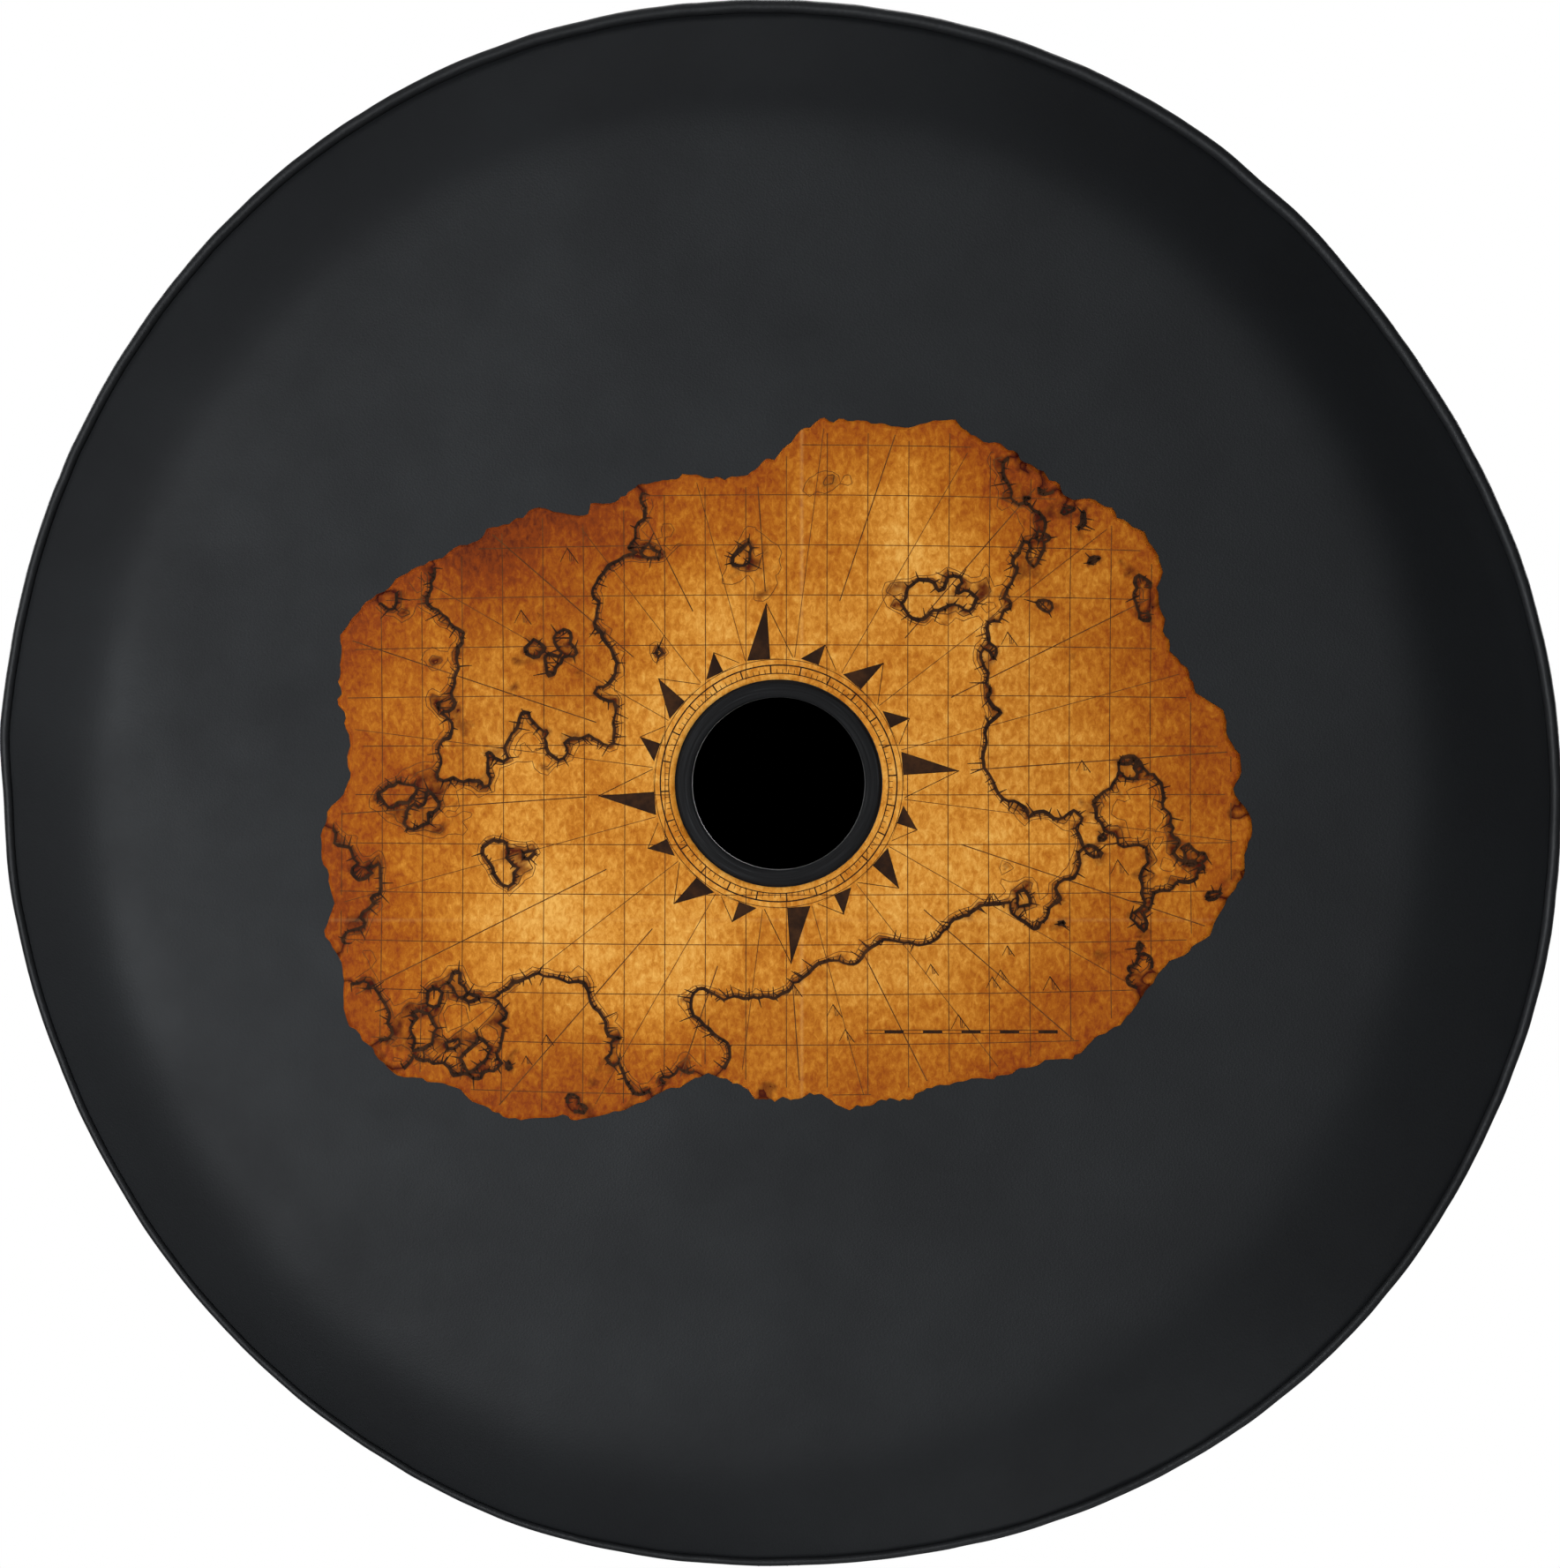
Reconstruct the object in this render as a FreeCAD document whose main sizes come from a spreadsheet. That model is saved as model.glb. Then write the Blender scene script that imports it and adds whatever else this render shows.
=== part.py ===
import FreeCAD, Part
import math
import os
import Sketcher

# Soft cover for a spare wheel with a camera opening in its face, in the shape it takes on the tyre.
# Frame: origin on the wheel's axis, half way through the tyre. +Y points to the vehicle, so the printed
# face looks along -Y. +X is to the right for someone who faces the print, and +Z is up.

SIZES = [
    # the tyre that the cover is cut for, and the sheet that it is cut from
    ("seat_radius", 408.0),  # inside of the side band, tyre radius and ease
    ("seat_depth", 256.0),  # between the two sidewalls
    ("skin", 1.2),  # knit-backed vinyl
    ("gap", 0.1),  # between two layers that lie on each other
    # face
    ("seam_inset", 6.5),  # from the inside of the band to the face seam
    ("shoulder_width", 43.5),  # slope between the flat of the face and the seam
    ("shoulder_drop", 26.0),  # how far the seam lies behind the flat of the face
    ("face_bend", 34.0),  # inside radius of the bend at the edge of the flat
    ("seam_bend", 1.0),
    ("allowance", 12.0),  # seam allowance, turned inwards
    # piping in the face seam
    ("piping_radius", 3.6),
    ("piping_flange", 1.0),
    # side band
    ("rear_bend", 40.0),  # inside radius over the rear shoulder
    ("front_bend", 1.5),
    ("joint_width", 28.0),  # strips that close the band at top and bottom
    ("joint_start", 4.0),  # from the band's front edge
    ("joint_length", 180.0),
    # gathered hem
    ("hem_radius", 276.0),
    ("elastic_width", 18.0),
    ("elastic_thickness", 1.0),
    ("hem_lap", 8.0),  # lips of the hem over the edge of the band
    ("thread_radius", 0.35),
    ("thread_inset", 4.0),  # from the edge of the upper layer
    # camera opening
    ("camera_radius", 44.9),
    ("face_hole_radius", 48.2),
    ("gasket_front_radius", 53.2),
    ("gasket_front", 2.2),
    ("gasket_rear_radius", 57.0),
    ("gasket_rear", 1.8),
    ("collar_wall", 2.4),
    ("collar_length", 8.0),
    ("gasket_round", 1.0),
    ("doubler_radius", 72.0),
    ("doubler_thickness", 1.0),
    # drain eyelets
    ("drain_angle", 11.0),  # degrees from the lowest point
    ("drain_bore", 5.0),
    ("drain_barrel", 5.6),
    ("drain_flange", 8.6),
    ("drain_metal", 0.8),
    ("drain_roll", 1.1),  # how far the rolled end reaches past the barrel
    # storm strap across the hem opening
    ("strap_height", -150.0),
    ("web_width", 25.0),
    ("web", 1.5),
    ("patch_clear", 2.4),  # from the hem to a patch's nearest corner
    ("patch_length", 44.5),
    ("patch_width", 40.0),
    ("patch_margin", 5.0),  # from the strap's sewn end to the patch's edge
    ("stitch_length", 34.0),
    ("stitch_width", 19.0),
    ("short_fold", 38.0),
    ("long_fold", 96.0),
    ("fold_drop", 18.0),  # length over which a folded end comes down onto the strap
    # buckle
    ("mouth", 2.0),  # mouth of the socket, from the middle of the cover
    ("socket_length", 34.0),
    ("buckle_width", 33.0),
    ("buckle_thickness", 9.2),
    ("buckle_round", 1.6),
    ("cavity_depth", 24.0),
    ("cavity_width", 26.4),
    ("cavity_height", 5.8),
    ("window_front", 7.0),
    ("window_back", 19.0),
    ("web_slot", 7.5),
    ("slot_width", 26.0),
    ("bar_radius", 1.9),
    ("bar_clearance", 0.25),
    ("bar_root", 1.0),  # how far a bar's ends and the guide run into the case
    ("socket_bar", 31.0),  # from the mouth
    ("insert_bar", 18.5),
    ("insert_base", 9.0),
    ("insert_rails", 22.0),
    ("mouth_gap", 0.3),
    ("guide_length", 19.0),
    ("guide_width", 6.0),
    ("guide_height", 4.4),
    ("prong_pivot", 3.0),
    ("prong_offset", 9.5),
    ("prong_root", 2.4),
    ("prong_arm", 3.2),
    ("prong_hollow", 1.1),  # how far the arm's inner side curves outwards to its tip
    ("prong_height", 5.2),
    ("prong_clearance", 0.3),
    ("barb_front", 7.4),
    ("barb_back", 18.6),
    ("barb_width", 15.9),
    # keeper for the folded end
    ("keeper_place", 95.0),
    ("keeper_length", 10.0),
    ("keeper_wall", 1.7),
    ("keeper_clearance", 0.25),
    # printed film
    ("print_half_width", 252.0),
    ("print_half_height", 180.0),
    ("print_tilt", 9.0),  # degrees, clockwise
    ("print_hole_radius", 54.0),
    ("film", 0.2),
]

doc = FreeCAD.newDocument("spare_tyre_cover")
sheet = doc.addObject("Spreadsheet::Sheet", "Sizes")
for row, (alias, number) in enumerate(SIZES, 1):
    sheet.set(f"A{row}", alias)
    sheet.set(f"B{row}", str(number))
    sheet.setAlias(f"B{row}", alias)
doc.recompute()

# Places that several pieces share, as expressions of the sheet's cells.
seam_radius = "(Sizes.seat_radius - Sizes.seam_inset)"
flat_radius = f"({seam_radius} - Sizes.shoulder_width)"
face_out = "(-Sizes.seat_depth / 2 - Sizes.skin)"
face_in = "(-Sizes.seat_depth / 2)"
seam_depth = f"({face_out} + Sizes.shoulder_drop)"
seam_end = f"({seam_depth} + Sizes.allowance)"
face_slope = "(Sizes.shoulder_drop / Sizes.shoulder_width)"
piping_start = f"({seam_radius} + Sizes.gap)"
piping_centre = f"({piping_start} + Sizes.piping_radius)"
flange_out = f"({piping_start} + Sizes.piping_flange)"
band_lip = f"({flange_out} + Sizes.gap)"
band_out = "(Sizes.seat_radius + Sizes.skin)"
band_front = f"({seam_depth} + Sizes.piping_radius + Sizes.gap)"
rear_in = "(Sizes.seat_depth / 2)"
rear_out = "(Sizes.seat_depth / 2 + Sizes.skin)"
rear_middle = "(Sizes.seat_depth / 2 + Sizes.skin / 2)"
channel_half = "(max(Sizes.skin; Sizes.elastic_thickness) / 2 + Sizes.gap)"
channel_back = f"({rear_middle} + {channel_half} + Sizes.skin)"
channel_inner = "(Sizes.hem_radius + Sizes.skin)"
elastic_start = f"({channel_inner} + Sizes.gap)"
band_edge = f"({elastic_start} + Sizes.elastic_width + Sizes.gap)"
hem_lip = f"({band_edge} + Sizes.hem_lap)"
gasket_seat = "(Sizes.face_hole_radius - Sizes.gap)"
gasket_back = f"({face_in} + Sizes.doubler_thickness + 2 * Sizes.gap)"
strap_under = f"({channel_back} + Sizes.gap)"
loop_inner = "(Sizes.bar_radius + Sizes.bar_clearance)"
loop_outer = f"({loop_inner} + Sizes.web)"
buckle_depth = f"({strap_under} + {loop_outer})"
fold_under = f"({strap_under} + Sizes.web + Sizes.gap)"
socket_bar_at = "(Sizes.mouth - Sizes.socket_bar)"
insert_bar_at = "(Sizes.mouth + Sizes.insert_bar)"
patch_rise = "(abs(Sizes.strap_height) - Sizes.patch_width / 2)"
patch_start = f"(sqrt({hem_lip}^2 - {patch_rise}^2) + Sizes.patch_clear)"
patch_end = f"({patch_start} + Sizes.patch_length)"
strap_reach = f"({patch_end} - Sizes.patch_margin)"


def size(expression):
    return float(sheet.evalExpression(expression))


def bind(obj, prop, expression):
    obj.setExpression(prop, expression)


def new_body(label):
    body = doc.addObject("PartDesign::Body", label)
    body.Label = label
    return body


def outline(body, name, corners, plane="XY_Plane"):
    """Closed sketch through corners (across, up), each a pair of expressions.
    A third entry is the place across of the middle of a half circle that leads to the next corner."""
    sketch = body.newObject("Sketcher::SketchObject", name)
    base = next(f for f in body.Origin.OriginFeatures if f.Role == plane)
    sketch.AttachmentSupport = (base, [""])
    sketch.MapMode = "FlatFace"
    places = [FreeCAD.Vector(size(c[0]), size(c[1]), 0) for c in corners]
    for i, corner in enumerate(corners):
        here, there = places[i], places[(i + 1) % len(places)]
        if len(corner) == 3:
            middle = FreeCAD.Vector(size(corner[2]), (here.y + there.y) / 2, 0)
            sketch.addGeometry(Part.Arc(here, middle, there), False)
        else:
            sketch.addGeometry(Part.LineSegment(here, there), False)

    # an arc's ends are numbered counter-clockwise, so the one at a corner depends on the way it bulges
    def end_at(i, place):
        return 1 if sketch.getPoint(i, 1).isEqual(place, 1e-6) else 2

    for i, place in enumerate(places):
        before = i - 1 if i else len(places) - 1
        sketch.addConstraint(
            Sketcher.Constraint("Coincident", before, end_at(before, place), i, end_at(i, place))
        )
    for i, corner in enumerate(corners):
        for kind, expression in (("DistanceX", corner[0]), ("DistanceY", corner[1])):
            end = end_at(i, places[i])
            n = sketch.addConstraint(Sketcher.Constraint(kind, i, end, size(expression)))
            bind(sketch, f"Constraints[{n}]", expression)
        if len(corner) == 3:
            n = sketch.addConstraint(Sketcher.Constraint("DistanceX", i, 3, size(corner[0])))
            bind(sketch, f"Constraints[{n}]", corner[0])
    return sketch


def circle(body, name, across, up, radius, plane="XY_Plane"):
    sketch = body.newObject("Sketcher::SketchObject", name)
    base = next(f for f in body.Origin.OriginFeatures if f.Role == plane)
    sketch.AttachmentSupport = (base, [""])
    sketch.MapMode = "FlatFace"
    centre = FreeCAD.Vector(size(across), size(up), 0)
    sketch.addGeometry(Part.Circle(centre, FreeCAD.Vector(0, 0, 1), size(radius)), False)
    for constraint, expression in (
        (Sketcher.Constraint("DistanceX", 0, 3, centre.x), across),
        (Sketcher.Constraint("DistanceY", 0, 3, centre.y), up),
        (Sketcher.Constraint("Radius", 0, size(radius)), radius),
    ):
        n = sketch.addConstraint(constraint)
        bind(sketch, f"Constraints[{n}]", expression)
    return sketch


def turn(body, sketch, name, angle=None):
    """Turns the sketch about the wheel's axis, all round or by an angle half to each side of +X."""
    feature = body.newObject("PartDesign::Revolution", name)
    feature.Profile = sketch
    feature.ReferenceAxis = (sketch, ["V_Axis"])
    feature.Angle = 360
    if angle:
        feature.Midplane = True
        bind(feature, "Angle", angle)
    sketch.Visibility = False
    doc.recompute()
    return feature


def pad(body, sketch, name, length):
    feature = body.newObject("PartDesign::Pad", name)
    feature.Profile = sketch
    feature.Midplane = True
    bind(feature, "Length", length)
    doc.recompute()
    return feature


def ring_edges(shape, radius, depth):
    """Names of the edges that run round the wheel's axis at that radius and depth."""
    found = []
    for i, edge in enumerate(shape.Edges, 1):
        first, last = edge.ParameterRange
        spots = [edge.valueAt(first + (last - first) * t) for t in (0.0, 0.3, 0.7, 1.0)]
        if all(
            abs(math.hypot(p.x, p.z) - radius) < 0.01 and abs(p.y - depth) < 0.01 for p in spots
        ):
            found.append(f"Edge{i}")
    return found


def round_rings(body, bends):
    """Rounds ring edges, given as (radius, depth, bend) expressions, one fillet for each bend."""
    for radius, depth, bend in bends:
        base = body.Tip
        names = ring_edges(base.Shape, size(radius), size(depth))
        fillet = body.newObject("PartDesign::Fillet", f"{body.Label}_bend")
        fillet.Base = (base, names)
        bind(fillet, "Radius", bend)
        doc.recompute()


def turned(label, corners, bends=(), angle=None):
    body = new_body(label)
    turn(body, outline(body, f"{label}_outline", corners), f"{label}_turned", angle=angle)
    round_rings(body, bends)
    return body


def ring(label, inner, outer, front, back):
    return turned(label, [(inner, front), (outer, front), (outer, back), (inner, back)])


def box(name, x, y, z):
    """Block between pairs of expressions along each axis."""
    block = doc.addObject("Part::Box", name)
    for side, axis, (low, high) in (("Length", "x", x), ("Width", "y", y), ("Height", "z", z)):
        bind(block, side, f"({high}) - ({low})")
        bind(block, f"Placement.Base.{axis}", low)
    return block


def rod(name, x, y, z, radius, length, across):
    """Cylinder centred on a point, along the axis that `across` names."""
    cylinder = doc.addObject("Part::Cylinder", name)
    bind(cylinder, "Radius", radius)
    bind(cylinder, "Height", length)
    centre = {"x": x, "y": y, "z": z}
    centre[across] = f"({centre[across]}) - ({length}) / 2"
    if across == "y":
        cylinder.Placement = FreeCAD.Placement(
            FreeCAD.Vector(), FreeCAD.Rotation(FreeCAD.Vector(1, 0, 0), -90)
        )
    for axis, expression in centre.items():
        bind(cylinder, f"Placement.Base.{axis}", expression)
    return cylinder


def fuse(label, shapes):
    joined = doc.addObject("Part::MultiFuse", label)
    joined.Shapes = shapes
    joined.Label = label
    doc.recompute()
    return joined


def cut(label, base, tools):
    tool = tools[0] if len(tools) == 1 else fuse(f"{label}_tools", tools)
    cutting = doc.addObject("Part::Cut", label)
    cutting.Base = base
    cutting.Tool = tool
    cutting.Label = label
    doc.recompute()
    return cutting


def group(label, shapes):
    together = doc.addObject("Part::Compound", label)
    together.Links = shapes
    together.Label = label
    doc.recompute()
    return together


# ---- face -------------------------------------------------------------------------------------


def face_panel():
    inside = f"({seam_radius} - Sizes.skin)"
    inner_seam = f"({face_in} + {face_slope} * (Sizes.shoulder_width - Sizes.skin))"
    corners = [
        ("Sizes.face_hole_radius", face_out),
        (flat_radius, face_out),
        (seam_radius, seam_depth),
        (seam_radius, seam_end),
        (inside, seam_end),
        (inside, inner_seam),
        (flat_radius, face_in),
        ("Sizes.face_hole_radius", face_in),
    ]
    bends = [
        (flat_radius, face_out, "Sizes.face_bend + Sizes.skin"),
        (flat_radius, face_in, "Sizes.face_bend"),
        (seam_radius, seam_depth, "Sizes.seam_bend + Sizes.skin"),
        (inside, inner_seam, "Sizes.seam_bend"),
    ]
    return turned("face_panel", corners, bends)


def hole_doubler():
    front = f"({face_in} + Sizes.gap)"
    return ring(
        "hole_doubler",
        "Sizes.face_hole_radius",
        "Sizes.doubler_radius",
        front,
        f"({front} + Sizes.doubler_thickness)",
    )


def camera_gasket():
    """One rubber moulding: front flange, neck in the hole, rear flange and a short collar."""
    flange_back = f"({face_out} - Sizes.gap)"
    front = f"({flange_back} - Sizes.gasket_front)"
    rear = f"({gasket_back} + Sizes.gasket_rear)"
    collar = "(Sizes.camera_radius + Sizes.collar_wall)"
    collar_end = f"({rear} + Sizes.collar_length)"
    corners = [
        ("Sizes.camera_radius", front),
        ("Sizes.gasket_front_radius", front),
        ("Sizes.gasket_front_radius", flange_back),
        (gasket_seat, flange_back),
        (gasket_seat, gasket_back),
        ("Sizes.gasket_rear_radius", gasket_back),
        ("Sizes.gasket_rear_radius", rear),
        (collar, rear),
        (collar, collar_end),
        ("Sizes.camera_radius", collar_end),
    ]
    bends = [
        ("Sizes.gasket_front_radius", front, "Sizes.gasket_round"),
        ("Sizes.camera_radius", front, "Sizes.gasket_round"),
    ]
    return turned("camera_gasket", corners, bends)


def print_outline(half_width, half_height, tilt):
    """Torn sheet of old paper: a squared oval, turned a little, whose edge swells and dips as it goes round."""
    places = []
    steps = 96
    turn_by = math.radians(tilt)
    for i in range(steps):
        t = 2 * math.pi * i / steps
        square = (abs(math.cos(t) / half_width) ** 3 + abs(math.sin(t) / half_height) ** 3) ** (-1 / 3)
        swell = 0.955 + 0.028 * math.cos(3 * t + 2.6) + 0.02 * math.cos(5 * t + 0.7)
        ragged = 0.012 * math.cos(9 * t + 1.9) + 0.008 * math.cos(14 * t + 0.3)
        reach = square * (swell + ragged)
        places.append((reach * math.cos(t - turn_by), reach * math.sin(t - turn_by)))
    return places


def print_film():
    """Ink film on the flat of the face, with a hole for the gasket."""
    back = size(face_out)
    film = size("Sizes.film")
    edge = Part.BSplineCurve()
    extent = [size(f"Sizes.{name}") for name in ("print_half_width", "print_half_height", "print_tilt")]
    edge.interpolate([FreeCAD.Vector(x, back, z) for x, z in print_outline(*extent)], PeriodicFlag=True)
    hole = Part.Circle(FreeCAD.Vector(0, back, 0), FreeCAD.Vector(0, 1, 0), size("Sizes.print_hole_radius"))
    sheet_face = Part.Face(Part.Wire(edge.toShape())).cut(Part.Face(Part.Wire(hole.toShape())))
    feature = doc.addObject("Part::Feature", "print_film")
    feature.Shape = sheet_face.Faces[0].extrude(FreeCAD.Vector(0, -film, 0))
    feature.Label = "print_film"
    return feature


# ---- face seam ----------------------------------------------------------------------------------


def edge_piping():
    """Extruded vinyl piping: a bead, and a flange that is sewn between the face and the band.
    The bead's round section is drawn with sixteen flats that touch the round."""
    piping = new_body("edge_piping")
    corner_angles = [22.5 * (i + 0.5) for i in range(16)]
    reach = f"Sizes.piping_radius / cos({corner_angles[0]} deg)"
    bead = [
        (
            f"{piping_centre} + {reach} * cos({angle} deg)",
            f"{seam_depth} + {reach} * sin({angle} deg)",
        )
        for angle in corner_angles
    ]
    turn(piping, outline(piping, "bead", bead), "bead_turned")
    corners = [
        (piping_start, seam_depth),
        (flange_out, seam_depth),
        (flange_out, seam_end),
        (piping_start, seam_end),
    ]
    turn(piping, outline(piping, "flange", corners), "flange_turned")
    return piping


def thread_ring(label, radius, depth):
    body = new_body(label)
    turn(body, circle(body, f"{label}_section", radius, depth, "Sizes.thread_radius"), f"{label}_turned")
    return body


def face_seam_thread():
    """Row of stitches through the seam allowances, on their inner side."""
    return thread_ring(
        "face_seam_thread",
        f"{seam_radius} - Sizes.skin - Sizes.gap - Sizes.thread_radius",
        f"{seam_end} - Sizes.thread_inset",
    )


# ---- side band ------------------------------------------------------------------------------------


def drain_direction(side):
    angle = math.radians(size("Sizes.drain_angle"))
    return FreeCAD.Vector(side * math.sin(angle), 0, -math.cos(angle))


def band_half(label, side):
    """Half of the side band. It starts in the face seam, runs over the tread and turns in behind the tyre."""
    lip_in = f"({band_lip} + Sizes.skin)"
    corners = [
        (band_lip, seam_end),
        (band_lip, band_front),
        (band_out, band_front),
        (band_out, rear_out),
        (band_edge, rear_out),
        (band_edge, rear_in),
        ("Sizes.seat_radius", rear_in),
        ("Sizes.seat_radius", f"{band_front} + Sizes.skin"),
        (lip_in, f"{band_front} + Sizes.skin"),
        (lip_in, seam_end),
    ]
    bends = [
        (band_out, rear_out, "Sizes.rear_bend + Sizes.skin"),
        ("Sizes.seat_radius", rear_in, "Sizes.rear_bend"),
        (band_out, band_front, "Sizes.front_bend + Sizes.skin"),
        ("Sizes.seat_radius", f"{band_front} + Sizes.skin", "Sizes.front_bend"),
    ]
    half_turn = "180 - 360 / pi * Sizes.gap / Sizes.seat_radius"
    blank = turned(f"{label}_blank", corners, bends, angle=half_turn)
    if side < 0:
        blank.Placement = FreeCAD.Placement(
            FreeCAD.Vector(), FreeCAD.Rotation(FreeCAD.Vector(0, 1, 0), 180)
        )
    hole = doc.addObject("Part::Cylinder", f"{label}_drain")
    bind(hole, "Radius", "Sizes.drain_barrel + Sizes.gap")
    bind(hole, "Height", f"{band_out} + Sizes.skin")
    hole.Placement = FreeCAD.Placement(
        FreeCAD.Vector(), FreeCAD.Rotation(FreeCAD.Vector(0, 0, 1), drain_direction(side))
    )
    return cut(label, blank, [hole])


def band_joint(label, turn_degrees):
    """Strip sewn over the joint of the two halves, on the outside of the tread."""
    under = f"({band_out} + Sizes.gap)"
    front = f"({band_front} + Sizes.joint_start)"
    back = f"({front} + Sizes.joint_length)"
    corners = [
        (under, front),
        (f"{under} + Sizes.skin", front),
        (f"{under} + Sizes.skin", back),
        (under, back),
    ]
    strip = turned(label, corners, angle=f"180 / pi * Sizes.joint_width / {band_out}")
    strip.Placement = FreeCAD.Placement(
        FreeCAD.Vector(), FreeCAD.Rotation(FreeCAD.Vector(0, 1, 0), turn_degrees)
    )
    return strip


def at_drain(body, side):
    """Stands a piece that was turned about Y on the band, its +Y outwards."""
    out = drain_direction(side)
    body.Placement = FreeCAD.Placement(
        out * size(f"{band_out} + Sizes.gap"), FreeCAD.Rotation(FreeCAD.Vector(0, 1, 0), out)
    )
    return body


def drain_eyelets():
    """Two eyelets near the lowest point, each with a washer that its barrel is rolled over."""
    washer_out = "(-Sizes.skin - 3 * Sizes.gap)"
    washer_in = f"({washer_out} - Sizes.drain_metal)"
    roll_out = f"({washer_in} - Sizes.gap)"
    roll_in = f"({roll_out} - Sizes.drain_metal)"
    roll = "(Sizes.drain_barrel + Sizes.drain_roll)"
    eyelets, washers = [], []
    for name, side in (("left", -1), ("right", 1)):
        corners = [
            ("Sizes.drain_bore", "Sizes.drain_metal"),
            ("Sizes.drain_flange", "Sizes.drain_metal"),
            ("Sizes.drain_flange", "0"),
            ("Sizes.drain_barrel", "0"),
            ("Sizes.drain_barrel", roll_out),
            (roll, roll_out),
            (roll, roll_in),
            ("Sizes.drain_bore", roll_in),
        ]
        eyelets.append(at_drain(turned(f"eyelet_{name}", corners), side))
        inner = "Sizes.drain_barrel + Sizes.gap"
        washer = ring(f"washer_{name}", inner, "Sizes.drain_flange", washer_in, washer_out)
        washers.append(at_drain(washer, side))
    return [group("drain_eyelets", eyelets), group("drain_washers", washers)]


# ---- hem ------------------------------------------------------------------------------------------


def hem_channel():
    """Strip folded over the edge of the band, with the elastic in its fold."""
    front = f"({rear_middle} - {channel_half})"
    back = f"({rear_middle} + {channel_half})"
    corners = [
        ("Sizes.hem_radius", f"{front} - Sizes.skin"),
        (hem_lip, f"{front} - Sizes.skin"),
        (hem_lip, front),
        (channel_inner, front),
        (channel_inner, back),
        (hem_lip, back),
        (hem_lip, f"{back} + Sizes.skin"),
        ("Sizes.hem_radius", f"{back} + Sizes.skin"),
    ]
    return turned("hem_channel", corners)


def hem_elastic():
    return ring(
        "hem_elastic",
        elastic_start,
        f"({elastic_start} + Sizes.elastic_width)",
        f"({rear_middle} - Sizes.elastic_thickness / 2)",
        f"({rear_middle} + Sizes.elastic_thickness / 2)",
    )


def hem_thread():
    """Row of stitches that closes the hem, on the side away from the tyre and on the inner lip."""
    return thread_ring(
        "hem_thread",
        f"{hem_lip} - Sizes.thread_inset",
        f"{rear_middle} - {channel_half} - Sizes.skin - Sizes.gap - Sizes.thread_radius",
    )


# ---- storm strap --------------------------------------------------------------------------------------


def strap_patch(label, side):
    """Vinyl patch that spreads the strap's pull over the band."""
    low, high = f"{side} * {patch_start}", f"{side} * {patch_end}"
    return box(
        label,
        (low, high) if side > 0 else (high, low),
        (f"{rear_out} + Sizes.gap", f"{strap_under} - Sizes.gap"),
        (
            "Sizes.strap_height - Sizes.patch_width / 2",
            "Sizes.strap_height + Sizes.patch_width / 2",
        ),
    )


def strap(label, side, bar, fold):
    """Webbing from its sewn end to a buckle bar, round the bar and back along itself."""
    end = f"{side} * {strap_reach}"
    under, over = f"{strap_under}", f"({strap_under} + Sizes.web)"
    down = f"{bar} + {side} * Sizes.fold_drop"
    tail = f"{bar} + {side} * {fold}"
    corners = [
        (end, under),
        (bar, under, f"{bar} - {side} * {loop_outer}"),
        (bar, f"{buckle_depth} + {loop_outer}"),
        (down, f"{fold_under} + Sizes.web"),
        (tail, f"{fold_under} + Sizes.web"),
        (tail, fold_under),
        (down, fold_under),
        (bar, f"{buckle_depth} + {loop_inner}", f"{bar} - {side} * {loop_inner}"),
        (bar, over),
        (end, over),
    ]
    body = new_body(label)
    pad(body, outline(body, f"{label}_outline", corners), f"{label}_woven", "Sizes.web_width")
    bind(body, "Placement.Base.z", "Sizes.strap_height")
    return body


def strap_threads():
    """Box of stitches on each sewn end."""
    frames = []
    top = f"({strap_under} + Sizes.web + Sizes.gap)"
    thread = "(2 * Sizes.thread_radius)"
    for name, side in (("left", -1), ("right", 1)):
        middle = f"{side} * ({strap_reach} + {patch_start}) / 2"
        solids = []
        for kind, shrink in (("outside", "0"), ("inside", thread)):
            half_length = f"(Sizes.stitch_length / 2 - {shrink})"
            half_width = f"(Sizes.stitch_width / 2 - {shrink})"
            solids.append(
                box(
                    f"stitches_{name}_{kind}",
                    (f"{middle} - {half_length}", f"{middle} + {half_length}"),
                    (top, f"{top} + {thread}"),
                    (f"Sizes.strap_height - {half_width}", f"Sizes.strap_height + {half_width}"),
                )
            )
        frames.append(cut(f"stitches_{name}", solids[0], [solids[1]]))
    return group("strap_threads", frames)


# ---- buckle ---------------------------------------------------------------------------------------------


def around(centre, width):
    return (f"{centre} - {width} / 2", f"{centre} + {width} / 2")


def rounded_block(name, x):
    """Block of the buckle's width and thickness between two places along X, with all edges rounded."""
    body = new_body(name)
    half = "Sizes.buckle_width / 2"
    corners = [(x[0], f"-{half}"), (x[1], f"-{half}"), (x[1], half), (x[0], half)]
    padding = pad(body, outline(body, f"{name}_outline", corners, "XZ_Plane"), f"{name}_pad", "Sizes.buckle_thickness")
    fillet = body.newObject("PartDesign::Fillet", f"{name}_edges")
    fillet.Base = (padding, [f"Edge{i + 1}" for i in range(len(padding.Shape.Edges))])
    bind(fillet, "Radius", "Sizes.buckle_round")
    bind(body, "Placement.Base.y", buckle_depth)
    bind(body, "Placement.Base.z", "Sizes.strap_height")
    doc.recompute()
    return body


def web_bar(name, place):
    return rod(
        name,
        place,
        buckle_depth,
        "Sizes.strap_height",
        "Sizes.bar_radius",
        "(Sizes.slot_width + 2 * Sizes.bar_root)",
        "z",
    )


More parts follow.
